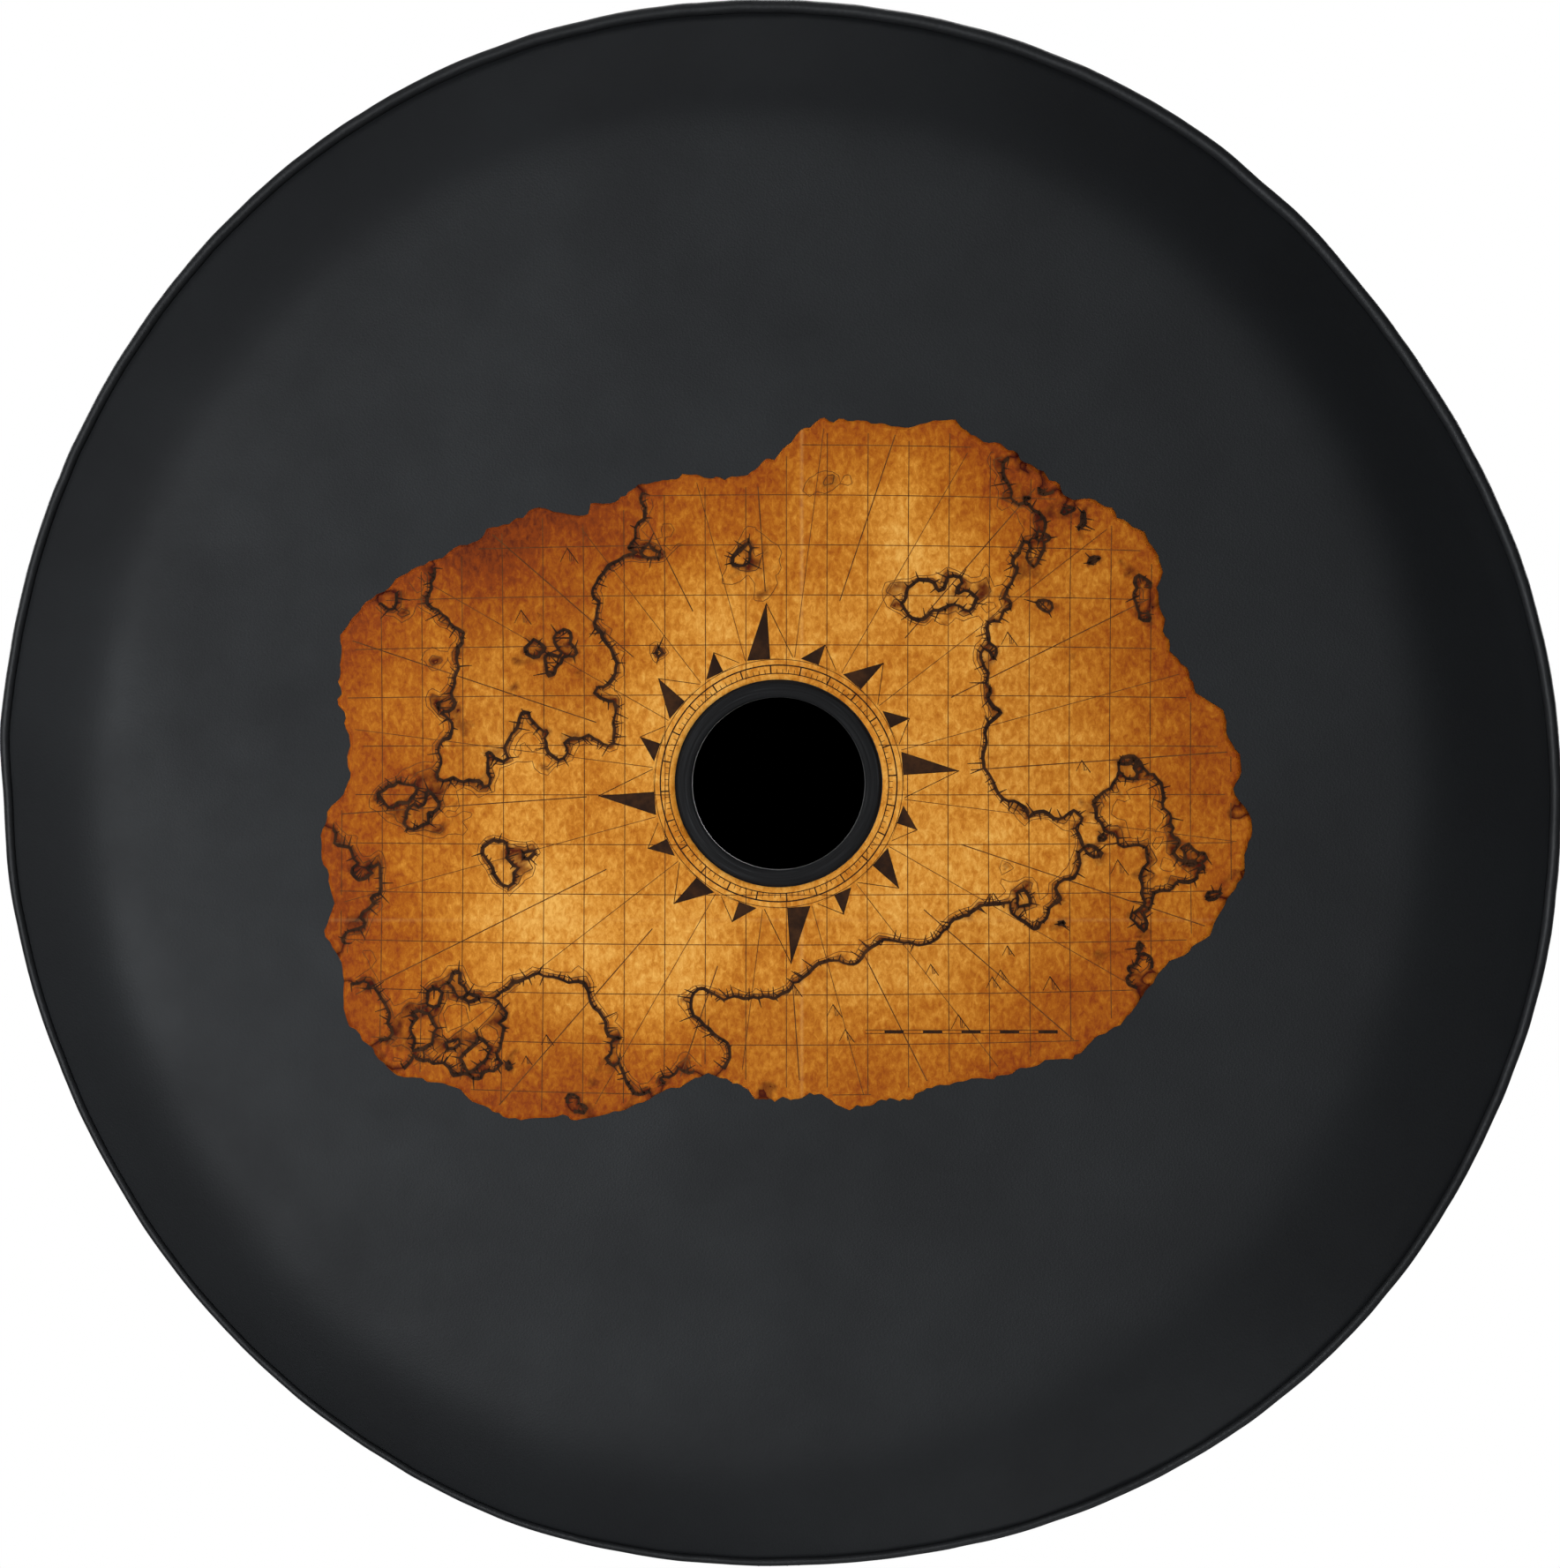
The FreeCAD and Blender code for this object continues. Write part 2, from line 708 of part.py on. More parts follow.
def buckle_socket():
    """Female half: a flat case with a mouth for the insert, a window in each side and a webbing bar."""
    back = "(Sizes.mouth - Sizes.socket_length)"
    case = rounded_block("socket_case", (back, "Sizes.mouth"))
    past = "Sizes.buckle_width"
    tools = [
        box(
            "socket_cavity",
            ("Sizes.mouth - Sizes.cavity_depth", f"Sizes.mouth + {past}"),
            around(buckle_depth, "Sizes.cavity_height"),
            around("Sizes.strap_height", "Sizes.cavity_width"),
        ),
        box(
            "socket_windows",
            ("Sizes.mouth - Sizes.window_back", "Sizes.mouth - Sizes.window_front"),
            around(buckle_depth, "Sizes.cavity_height"),
            around("Sizes.strap_height", f"(2 * {past})"),
        ),
        box(
            "socket_web_slot",
            (f"{back} - {past}", f"{back} + Sizes.web_slot"),
            around(buckle_depth, f"{past}"),
            around("Sizes.strap_height", "Sizes.slot_width"),
        ),
    ]
    case = cut("socket_case_open", case, tools)
    return fuse("buckle_socket", [case, web_bar("socket_bar", socket_bar_at)])


def prong_places(side):
    """Pivot of a prong: along X and along Z."""
    return "(Sizes.mouth + Sizes.prong_pivot)", f"(Sizes.strap_height + {side} * Sizes.prong_offset)"


def buckle_insert():
    """Male half: base with a web frame behind it, a stiff guide in the middle and a pocket for each prong."""
    front = "(Sizes.mouth + Sizes.mouth_gap)"
    block = rounded_block("insert_block", (front, f"{front} + Sizes.insert_rails"))
    slot = box(
        "insert_web_slot",
        (f"{front} + Sizes.insert_base", f"{front} + 2 * Sizes.insert_rails"),
        around(buckle_depth, "Sizes.buckle_width"),
        around("Sizes.strap_height", "Sizes.slot_width"),
    )
    tools = [slot]
    pocket_height = "(Sizes.prong_height + 2 * Sizes.prong_clearance)"
    pocket_radius = "(Sizes.prong_root + Sizes.prong_clearance)"
    for name, side in (("upper", 1), ("lower", -1)):
        x, z = prong_places(side)
        tools.append(
            rod(f"pocket_{name}", x, buckle_depth, z, pocket_radius, pocket_height, "y")
        )
        tools.append(
            box(
                f"pocket_mouth_{name}",
                (f"{front} - Sizes.insert_base", x),
                around(buckle_depth, pocket_height),
                around(z, f"(2 * {pocket_radius})"),
            )
        )
    block = cut("insert_block_open", block, tools)
    guide = box(
        "insert_guide",
        ("Sizes.mouth - Sizes.guide_length", f"{front} + Sizes.bar_root"),
        around(buckle_depth, "Sizes.guide_height"),
        around("Sizes.strap_height", "Sizes.guide_width"),
    )
    return fuse("buckle_insert", [block, guide, web_bar("insert_bar", insert_bar_at)])


def buckle_prong(label, side):
    """Springy side arm with a barb that fills a window of the socket."""
    pivot, offset = "(Sizes.mouth + Sizes.prong_pivot)", "Sizes.prong_offset"
    arm = "(Sizes.prong_arm / 2)"
    tip = "(Sizes.mouth - Sizes.barb_back)"
    barb = "(Sizes.mouth - Sizes.barb_front)"
    corners = [
        (pivot, f"{side} * ({offset} - {arm})"),
        (f"{tip} + {arm}", f"{side} * ({offset} - {arm} + Sizes.prong_hollow)"),
        (tip, f"{side} * ({offset} + {arm})"),
        (f"{tip} + 2 * {arm}", f"{side} * Sizes.barb_width"),
        (barb, f"{side} * Sizes.barb_width"),
        (barb, f"{side} * ({offset} + 2 * {arm})"),
        (pivot, f"{side} * ({offset} + {arm})"),
    ]
    body = new_body(f"{label}_arm")
    pad(body, outline(body, f"{label}_outline", corners, "XZ_Plane"), f"{label}_pad", "Sizes.prong_height")
    bind(body, "Placement.Base.y", buckle_depth)
    bind(body, "Placement.Base.z", "Sizes.strap_height")
    x, z = prong_places(side)
    root = rod(f"{label}_root", x, buckle_depth, z, "Sizes.prong_root", "Sizes.prong_height", "y")
    return fuse(label, [body, root])


def strap_keeper():
    """Slider that holds the folded end down on the strap."""
    low = f"({strap_under} - Sizes.keeper_clearance)"
    high = f"({fold_under} + Sizes.web + Sizes.keeper_clearance)"
    slot_width = "(Sizes.web_width + 2 * Sizes.keeper_clearance)"
    along = around("Sizes.keeper_place", "Sizes.keeper_length")
    outside = box(
        "keeper_block",
        along,
        (f"{low} - Sizes.keeper_wall", f"{high} + Sizes.keeper_wall"),
        around("Sizes.strap_height", f"({slot_width} + 2 * Sizes.keeper_wall)"),
    )
    slot = box(
        "keeper_slot",
        around("Sizes.keeper_place", "(2 * Sizes.keeper_length)"),
        (low, high),
        around("Sizes.strap_height", slot_width),
    )
    return cut("strap_keeper", outside, [slot])


pieces = [
    face_panel(),
    hole_doubler(),
    camera_gasket(),
    print_film(),
    edge_piping(),
    face_seam_thread(),
    band_half("band_left", -1),
    band_half("band_right", 1),
    band_joint("band_joint_top", -90),
    band_joint("band_joint_bottom", 90),
    *drain_eyelets(),
    hem_channel(),
    hem_elastic(),
    hem_thread(),
    strap_patch("strap_patch_left", -1),
    strap_patch("strap_patch_right", 1),
    strap("strap_short", -1, socket_bar_at, "Sizes.short_fold"),
    strap("strap_long", 1, insert_bar_at, "Sizes.long_fold"),
    strap_threads(),
    buckle_socket(),
    buckle_insert(),
    buckle_prong("buckle_prong_upper", 1),
    buckle_prong("buckle_prong_lower", -1),
    strap_keeper(),
]
doc.recompute()

for obj in doc.Objects:
    if "Invalid" in obj.State or "Error" in obj.State:
        raise RuntimeError(f"{obj.Label} failed: {obj.State}")
os.makedirs("parts", exist_ok=True)
for piece in pieces:
    shape = piece.Shape
    if shape.isNull() or not shape.isValid() or not shape.Solids:
        raise RuntimeError(f"{piece.Label} has no valid solid")
    shape.exportStep(f"parts/{piece.Label}.step")
    print(f"{piece.Label}: {len(shape.Solids)} solids, {shape.Volume / 1000:.2f} cm3")
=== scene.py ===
import bmesh
import bpy
import math
import random
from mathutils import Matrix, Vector, noise


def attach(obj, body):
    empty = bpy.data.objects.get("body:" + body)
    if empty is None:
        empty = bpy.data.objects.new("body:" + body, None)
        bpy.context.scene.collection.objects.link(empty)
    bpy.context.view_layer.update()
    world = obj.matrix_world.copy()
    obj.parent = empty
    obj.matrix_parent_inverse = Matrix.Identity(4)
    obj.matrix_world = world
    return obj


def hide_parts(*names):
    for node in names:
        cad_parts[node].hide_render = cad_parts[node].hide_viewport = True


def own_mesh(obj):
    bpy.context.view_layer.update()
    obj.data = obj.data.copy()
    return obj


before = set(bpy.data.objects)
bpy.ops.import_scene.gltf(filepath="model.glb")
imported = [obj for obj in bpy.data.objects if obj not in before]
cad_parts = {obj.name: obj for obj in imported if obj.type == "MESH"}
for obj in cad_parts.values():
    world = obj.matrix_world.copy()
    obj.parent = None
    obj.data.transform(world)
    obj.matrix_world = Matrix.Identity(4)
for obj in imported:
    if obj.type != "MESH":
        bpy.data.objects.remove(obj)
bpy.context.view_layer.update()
print("frame loaded")

# camera: square to the face, far enough back that the band hides behind the piping
cameraPlace = dict(lens=140.2, distance=3.2, seamDepth=-0.1032, across=0.0007, up=-0.0003)

cameraData = bpy.data.cameras.new("camera")
cameraData.lens = cameraPlace["lens"]
cameraData.sensor_width = 36
camera = bpy.data.objects.new("camera", cameraData)
camera.location = (cameraPlace["across"], cameraPlace["seamDepth"] - cameraPlace["distance"], cameraPlace["up"])
camera.rotation_euler = (math.radians(90), 0, 0)
bpy.context.scene.collection.objects.link(camera)
bpy.context.scene.camera = camera
bpy.context.scene.view_settings.view_transform = "Standard"


# small helpers
def hexColour(text):
    channels = [int(text[i:i + 2], 16) / 255 for i in (0, 2, 4)]
    return tuple(c / 12.92 if c <= 0.04045 else ((c + 0.055) / 1.055) ** 2.4 for c in channels) + (1.0,)


def wire(tree, source, target):
    # a source is a socket, or a node whose first output is meant
    tree.links.new(source.outputs[0] if isinstance(source, bpy.types.Node) else source, target)


def addNode(tree, kind, given=None):
    # a shader node goes by its short name; what is given is a property of the node, a ramp's stops,
    # or an input with its value or its source
    node = tree.nodes.new(kind if "Node" in kind else "ShaderNode" + kind)
    for key, value in (given or {}).items():
        if isinstance(value, (bpy.types.Node, bpy.types.NodeSocket)):
            wire(tree, value, node.inputs[key])
        elif key == "stops":
            steps = node.color_ramp.elements
            for step, (place, text) in zip((steps[0], steps[1]), (value[0], value[-1])):
                step.position, step.color = place, hexColour(text)
            for place, text in value[1:-1]:
                steps.new(place).color = hexColour(text)
        elif isinstance(key, str) and hasattr(node, key):
            setattr(node, key, value)
        else:
            node.inputs[key].default_value = value
    return node


def smooth(low, high, value):
    t = min(1.0, max(0.0, (value - low) / (high - low)))
    return t * t * (3 - 2 * t)


def onCircle(radius, angle):
    return (radius * math.cos(angle), radius * math.sin(angle))


def onRing(radius, depth, angle):
    return Vector((radius * math.cos(angle), depth, radius * math.sin(angle)))


def lumps(x, z, seed):
    return noise.noise(Vector((x, z, seed)))


def swells(angle, waves):
    # each wave: how many round the ring, where it leads and how far it goes
    return sum(reach * math.sin(count * angle + lead) for count, lead, reach in waves)


def ringNoise(angle, size, seed):
    # noise round a ring of the cover's radius, with lumps about as long as size
    return lumps(*onCircle(0.4 / size, angle), seed)


def addObject(name, mesh, *materials):
    piece = bpy.data.objects.new(name, mesh)
    bpy.context.scene.collection.objects.link(piece)
    for material in materials:
        mesh.materials.append(material)
    for polygon in mesh.polygons:
        polygon.use_smooth = True
    return piece


def newMesh(name, vertices, faces=(), edges=()):
    mesh = bpy.data.meshes.new(name)
    mesh.from_pydata([tuple(v) for v in vertices], edges, faces)
    return mesh


def gridMesh(name, rows, columns, point, closed=True, capped=False):
    # rows run from the face's middle over the edge to the hem, columns run round, so faces point outwards
    wide = len(columns)
    vertices = [point(row, column) for row in rows for column in columns]
    faces = []
    for i in range(len(rows) - 1):
        for j in range(wide if closed else wide - 1):
            k = (j + 1) % wide
            faces.append((i * wide + j, (i + 1) * wide + j, (i + 1) * wide + k, i * wide + k))
    if capped:
        faces += [tuple(range(wide)), tuple(range((len(rows) - 1) * wide, len(rows) * wide))]
    mesh = newMesh(name, vertices, faces)
    layer = mesh.uv_layers.new(name="along")
    for polygon in mesh.polygons:
        for loop in polygon.loop_indices:
            i, j = divmod(mesh.loops[loop].vertex_index, wide)
            if closed and j == 0 and polygon.vertices[2] % wide == 0:
                j = wide
            layer.data[loop].uv = (i / (len(rows) - 1), j / (wide if closed else wide - 1))
    return mesh


def mergedMesh(mesh):
    shape = bmesh.new()
    shape.from_mesh(mesh)
    bmesh.ops.remove_doubles(shape, verts=shape.verts, dist=1e-7)
    bmesh.ops.recalc_face_normals(shape, faces=shape.faces)
    shape.to_mesh(mesh)
    shape.free()
    return mesh


def sweptPiece(name, section, segments, place, material):
    # a closed section carried round a ring; place turns a section point and an angle into a point
    rows = range(len(section) + 1)
    mesh = gridMesh(name, rows, turns(segments), lambda i, a: place(section[i % len(section)], a))
    return addObject(name, mergedMesh(mesh), material)


def skinPiece(name, rows, columns, point, thickness, *materials, closed=True):
    # a skin laid row by row, thickened inwards; its second material is its inner side
    piece = addObject(name, gridMesh(name, rows, columns, point, closed), *materials)
    wall = piece.modifiers.new("wall", "SOLIDIFY")
    wall.thickness = thickness
    wall.offset = -1
    wall.material_offset = wall.material_offset_rim = len(materials) - 1
    return piece


def bakeModifiers(piece):
    bpy.context.view_layer.update()
    result = bpy.data.meshes.new_from_object(piece.evaluated_get(bpy.context.evaluated_depsgraph_get()))
    piece.modifiers.clear()
    piece.data = result


def spread(low, high, step):
    count = max(1, round(abs(high - low) / step))
    return [low + (high - low) * i / count for i in range(count + 1)]


def turns(count, start=0.0, sweep=2 * math.pi, ends=False):
    return [start + sweep * i / count for i in range(count + 1 if ends else count)]


# shape shared by the face, the piping and the band
# places where the slack cover stands out from a true circle or is drawn in: degrees, half width, mm outwards
outlineBulges = [
    (35, 20, -8.0), (120, 30, 5.5), (315, 25, 5.5), (205, 25, -5.0), (275, 12, -1.5),
    (250, 8, 1.5), (345, 8, 1.5), (176, 3, 0.9), (182, 3.5, -1.2), (51, 2.2, -0.7), (46, 3, 0.5),
]
cover = dict(
    restReach=0.0011, beadOuter=0.4088, beadRadius=0.0028, beadChange=0.0008, beadFullAt=65,
    seamRadius=0.4015, seamDepth=-0.1032, front=-0.1292, drop=0.026, bendSoftness=0.007,
    seamRipple=0.00035, vinyl=0.0012, hangAcross=0.0005, hangUp=-0.0012, looseFrom=0.335,
    # where the flat ends, in mm: its mean, then its changes twice round, across and up
    flatEnd=(353, -6, -7, -3),
    dents=(0.345, 0.375, 0.388, 0.4), dentDepth=0.0011, pucker=(0.383, 0.3985), puckerDepth=0.00028,
)


def edgeShift(angle):
    degrees = math.degrees(angle)
    # the cover hangs a little low, so that its hole sits just above the middle of the outline
    total = cover["restReach"] + cover["hangAcross"] * math.cos(angle) + cover["hangUp"] * math.sin(angle)
    for place, width, out in outlineBulges:
        away = (degrees - place + 180) % 360 - 180
        total += out / 1000 * math.exp(-(away / width) ** 2)
    return total + cover["seamRipple"] * ringNoise(angle, 0.022, 3.1)


def beadRadius(angle):
    # the bead stands proud at the upper right and is drawn into the seam at the lower left
    return cover["beadRadius"] + cover["beadChange"] * math.cos(angle - math.radians(cover["beadFullAt"]))


def seamSlack(angle):
    return cover["beadOuter"] - 2 * beadRadius(angle) - 0.0001 - cover["seamRadius"]


def faceWave(x, z):
    # the stretched panel's own slow waves
    return 0.00035 * lumps(x / 0.11, z / 0.11, 0.7) + 0.00012 * lumps(x / 0.035, z / 0.035, 4.2)


def facePoint(radius, angle):
    mean, twice, across, up = cover["flatEnd"]
    start = (mean + twice * math.cos(2 * angle) + across * math.cos(angle) + up * math.sin(angle)) / 1000
    soft = cover["bendSoftness"] * (1 + 0.35 * max(0.0, -math.sin(angle)))

    def fall(r):
        return soft * math.log1p(math.exp((r - start) / soft))

    depth = cover["drop"] * fall(min(radius, cover["seamRadius"])) / fall(cover["seamRadius"])
    loose = smooth(cover["looseFrom"], cover["seamRadius"], radius)
    x, z = onCircle(radius + (edgeShift(angle) + seamSlack(angle)) * loose, angle)
    y = cover["front"] + depth + faceWave(x, z) * smooth(0.06, 0.1, radius)
    # the shoulder hangs in shallow dents, and the seam puckers it where the needle pulled
    begin, full, leave, end = cover["dents"]
    shoulder = smooth(begin, full, radius) * (1 - smooth(leave, end, radius))
    y += cover["dentDepth"] * shoulder * ringNoise(angle, 0.11, 1.3)
    y += cover["puckerDepth"] * smooth(*cover["pucker"], radius) * ringNoise(angle, 0.012, 6.4)
    return Vector((x, y, z))


# materials
def newMaterial(name, constants):
    material = bpy.data.materials.new(name)
    material.use_nodes = True
    tree = material.node_tree
    shader = tree.nodes["Principled BSDF"]
    for key, value in constants.items():
        shader.inputs[key].default_value = value
    where = addNode(tree, "TexCoord")
    return material, tree, shader, where.outputs["Object"], where.outputs["UV"]


def dress(tree, shader, colour, rough, height=None, strength=0.5, depth=0.0001):
    # colour is a source, or one with a ramp's stops; rough is a number, or a source with its range and both values
    if isinstance(colour, tuple):
        colour = addNode(tree, "ValToRGB", {"stops": colour[1], 0: colour[0]})
    wire(tree, colour, shader.inputs["Base Color"])
    if isinstance(rough, tuple):
        value, low, high, atLow, atHigh = rough
        worn = addNode(tree, "MapRange", {0: value, 1: low, 2: high, 3: atLow, 4: atHigh})
        wire(tree, worn, shader.inputs["Roughness"])
    else:
        shader.inputs["Roughness"].default_value = rough
    if height:
        bump = addNode(tree, "Bump", {"Strength": strength, "Distance": depth, "Height": height})
        wire(tree, bump, shader.inputs["Normal"])


coolSheen = (0.92, 0.96, 1.0, 1.0)  # black plastics shine a little blue


def calenderedVinyl(name, dark, light, roughness, grain=0.0011, depth=0.00006):
    # PVC coated cloth, calendered and embossed with a fine leather grain: a soft satin black, never glossy
    material, tree, shader, place, _ = newMaterial(name, {"IOR": 1.32, "Specular Tint": coolSheen})
    cloud = addNode(tree, "TexNoise", {"Scale": 1 / 0.09, "Detail": 4.0, "Roughness": 0.6, "Vector": place})
    speck = addNode(tree, "TexNoise", {"Scale": 1 / 0.0016, "Detail": 2.0, "Vector": place})
    both = addNode(tree, "Math", {"operation": "MULTIPLY_ADD", 0: speck, 1: 0.35, 2: cloud})
    # the real grain is half this size; drawn coarser so that it shows at all
    pebbles = addNode(tree, "TexVoronoi", {"Scale": 1 / grain, "Vector": place})
    worn = (cloud, 0.3, 0.7, roughness + 0.035, roughness - 0.035)
    dress(tree, shader, (both, [(0.45, dark), (0.92, light)]), worn, pebbles, 0.8, depth)
    return material


def knittedBacking():
    # polyester knit bonded to the back of the vinyl: dull charcoal with rows of loops
    material, tree, shader, place, _ = newMaterial("knittedBacking", {"Sheen Weight": 0.15})
    loops = addNode(tree, "TexVoronoi", {"Scale": 1 / 0.0018, "Vector": place})
    fuzz = addNode(tree, "TexNoise", {"Scale": 1 / 0.005, "Detail": 4.0, "Vector": place})
    both = addNode(tree, "Math", {"operation": "MULTIPLY_ADD", 0: loops, 1: 0.5, 2: fuzz})
    dress(tree, shader, (both, [(0.4, "1f2022"), (0.95, "36383c")]), 0.92, loops, 0.6, 0.0002)
    return material


def mouldedRubber():
    # EPDM ring turned out of a mould: matte, with faint flow rings round the hole and a bloom in places
    material, tree, shader, place, _ = newMaterial("mouldedRubber", {"IOR": 1.25})
    apart = addNode(tree, "SeparateXYZ", {0: place})
    flat = addNode(tree, "CombineXYZ", {0: apart, 1: apart.outputs[2]})
    reach = addNode(tree, "VectorMath", {"operation": "LENGTH", 0: flat})
    steps = addNode(tree, "Math", {"operation": "MULTIPLY", 0: reach.outputs["Value"], 1: 900.0})
    around = addNode(tree, "VectorMath", {"operation": "NORMALIZE", 0: flat})
    bend = addNode(tree, "VectorMath", {"operation": "SCALE", "Scale": 1.1, 0: around})
    lift = addNode(tree, "CombineXYZ", {2: steps})
    path = addNode(tree, "VectorMath", {"operation": "ADD", 0: bend, 1: lift})
    streak = addNode(tree, "TexNoise", {"Scale": 1.6, "Detail": 3.0, "Vector": path})
    tints = [(0.3, "0c0d0e"), (0.6, "111214"), (0.8, "232528")]
    dress(tree, shader, (streak, tints), (streak, 0.3, 0.7, 0.8, 0.65), streak, 0.4, 0.0002)
    return material


def printedParchment():
    # ink printed on the vinyl to look like an old scorched sheet: mottled amber, burnt towards the torn edge
    material, tree, shader, place, _ = newMaterial("printedParchment", {"Specular IOR Level": 0.08})
    edge = addNode(tree, "Attribute", {"attribute_name": "edgeShare"}).outputs["Fac"]
    coast = addNode(tree, "Attribute", {"attribute_name": "landHeight"}).outputs["Fac"]
    stain = addNode(tree, "TexNoise", {"Scale": 1 / 0.075, "Detail": 6.0, "Roughness": 0.62, "Vector": place})
    leant = {"Scale": (1.5, 1.0, 1.0), "Rotation": (0, 0.2, 0)}
    squeezed = addNode(tree, "Mapping", {**leant, "Vector": place})
    fibre = addNode(
        tree, "TexNoise",
        {"Scale": 1 / 0.0045, "Detail": 5.0, "Roughness": 0.72, "Distortion": 0.4, "Vector": squeezed},
    )
    apart = addNode(tree, "SeparateXYZ", {0: place})
    leaning = addNode(tree, "Math", {"operation": "SUBTRACT", 0: apart.outputs[2], 1: apart})
    scorch = addNode(tree, "MapRange", {0: leaning, 1: 0.12, 2: 0.40, 3: 0.0, 4: 0.32})
    worn = addNode(tree, "MapRange", {0: edge, 1: 0.66, 2: 1.0, 3: 0.0, 4: 0.3})
    mottle = addNode(tree, "Math", {"operation": "MULTIPLY_ADD", 0: stain, 1: 0.85, 2: -0.60})
    total = addNode(tree, "Math", {"operation": "ADD", 0: scorch, 1: worn})
    total = addNode(tree, "Math", {"operation": "ADD", 0: total, 1: mottle})
    threads = addNode(tree, "Math", {"operation": "MULTIPLY_ADD", 0: fibre, 1: 0.95, 2: total})
    amber = [
        (0.06, "e2a952"), (0.24, "ce8b32"), (0.38, "b8711c"),
        (0.54, "a0560d"), (0.72, "873b08"), (1.0, "561e07"),
    ]
    sheet = addNode(tree, "ValToRGB", {"stops": amber, 0: threads})
    # the shores are shaded, darkest just off the coast
    near = addNode(tree, "MapRange", {0: coast, 1: -0.10, 2: -0.01, 3: 0.0, 4: 1.0})
    off = addNode(tree, "Math", {"operation": "LESS_THAN", 0: coast, 1: 0.0})
    inland = addNode(tree, "MapRange", {0: coast, 1: 0.0, 2: 0.07, 3: 0.75, 4: 0.06})
    shade = addNode(tree, "Mix", {"data_type": "FLOAT", 0: off, 2: inland, 3: near})
    inked = addNode(
        tree, "Mix",
        {"data_type": "RGBA", "blend_type": "MULTIPLY", 0: shade, 6: sheet, 7: hexColour("6b3a17")},
    )
    # two folds, one up the sheet and one across it
    folds = []
    for axis, at, pale in ((0, 0.012, 0.3), (2, -0.071, 0.12)):
        away = addNode(tree, "Math", {"operation": "SUBTRACT", 0: apart.outputs[axis], 1: at})
        away = addNode(tree, "Math", {"operation": "ABSOLUTE", 0: away})
        folds.append(addNode(tree, "MapRange", {0: away, 1: 0.0, 2: 0.0014, 3: pale, 4: 0.0}))
    crease = addNode(tree, "Math", {"operation": "MAXIMUM", 0: folds[0], 1: folds[1]})
    crease = addNode(tree, "Math", {"operation": "MULTIPLY", 0: crease, 1: stain})
    worked = addNode(tree, "Mix", {"data_type": "RGBA", 0: crease, 6: inked.outputs[2], 7: hexColour("f0c27c")})
    dress(tree, shader, worked.outputs[2], (fibre, 0.3, 0.7, 0.72, 0.6), fibre, 0.35, 0.0001)
    return material


def sepiaInk(name, dark, light):
    # thin printed line: brown, weaker where the old plate printed badly
    material, tree, shader, place, _ = newMaterial(name, {"Specular IOR Level": 0.08})
    worn = addNode(tree, "TexNoise", {"Scale": 1 / 0.012, "Detail": 5.0, "Roughness": 0.7, "Vector": place})
    dress(tree, shader, (worn, [(0.42, dark), (0.7, light)]), (worn, 0.3, 0.7, 0.7, 0.6))
    return material


def wovenWebbing(name, across, along, dark, light):
    # plain weave polypropylene strap: ribs of flat yarn; its colour is painted lighter on each crossing's crown and
    # darker between, a painted highlight and painted shade
    material, tree, shader, _, uv = newMaterial(name, {"IOR": 1.38, "Specular Tint": coolSheen})
    apart = addNode(tree, "SeparateXYZ", {0: uv})
    waves = []
    for side, count in ((0, along), (1, across)):
        turn = addNode(tree, "Math", {"operation": "MULTIPLY", 0: apart.outputs[side], 1: count * math.pi})
        waves.append(addNode(tree, "Math", {"operation": "SINE", 0: turn}))
    cross = addNode(tree, "Math", {"operation": "MULTIPLY", 0: waves[0], 1: waves[1]})
    height = addNode(tree, "MapRange", {0: cross, 1: -1.0, 2: 1.0, 3: 0.0, 4: 1.0})
    # painted highlight and shade: the colour follows the weave's height, light on the crowns and dark in the
    # hollows; the same height also drives the roughness and the bump
    dress(tree, shader, (height, [(0.1, dark), (0.8, light)]), (height, 0.0, 1.0, 0.8, 0.55), height, 0.7, 0.0003)
    return material


def spunThread():
    # bonded polyester thread, twisted: slightly lighter than the vinyl so that the rows show
    material, tree, shader, place, _ = newMaterial("spunThread", {})
    twist = addNode(tree, "TexNoise", {"Scale": 1 / 0.0009, "Detail": 2.0, "Vector": place})
    dress(tree, shader, (twist, [(0.3, "232427"), (0.7, "4a4c50")]), 0.6, twist, 0.5, 0.0001)
    return material


def mouldedAcetal():
    # acetal buckle straight from a spark-eroded mould: fine matte texture, a little shinier where it rubs
    material, tree, shader, place, _ = newMaterial("mouldedAcetal", {"IOR": 1.4, "Specular Tint": coolSheen})
    spark = addNode(tree, "TexNoise", {"Scale": 1 / 0.0005, "Detail": 3.0, "Vector": place})
    cloud = addNode(tree, "TexNoise", {"Scale": 1 / 0.009, "Detail": 3.0, "Vector": place})
    tints = [(0.3, "121314"), (0.7, "1c1d1f")]
    dress(tree, shader, (cloud, tints), (cloud, 0.35, 0.65, 0.46, 0.34), spark, 0.35, 0.00006)
    return material


def platedBrass():
    # stamped brass eyelet with a black nickel plate: dark metal with fine drawn marks and pale rubbed spots
    material, tree, shader, place, _ = newMaterial("platedBrass", {"Metallic": 1.0})
    marks = addNode(tree, "TexNoise", {"Scale": 1 / 0.0012, "Detail": 4.0, "Roughness": 0.7, "Vector": place})
    tints = [(0.35, "5b5c5e"), (0.75, "8d8a83")]
    dress(tree, shader, (marks, tints), (marks, 0.3, 0.7, 0.28, 0.42), marks, 0.2, 0.00005)
    return material


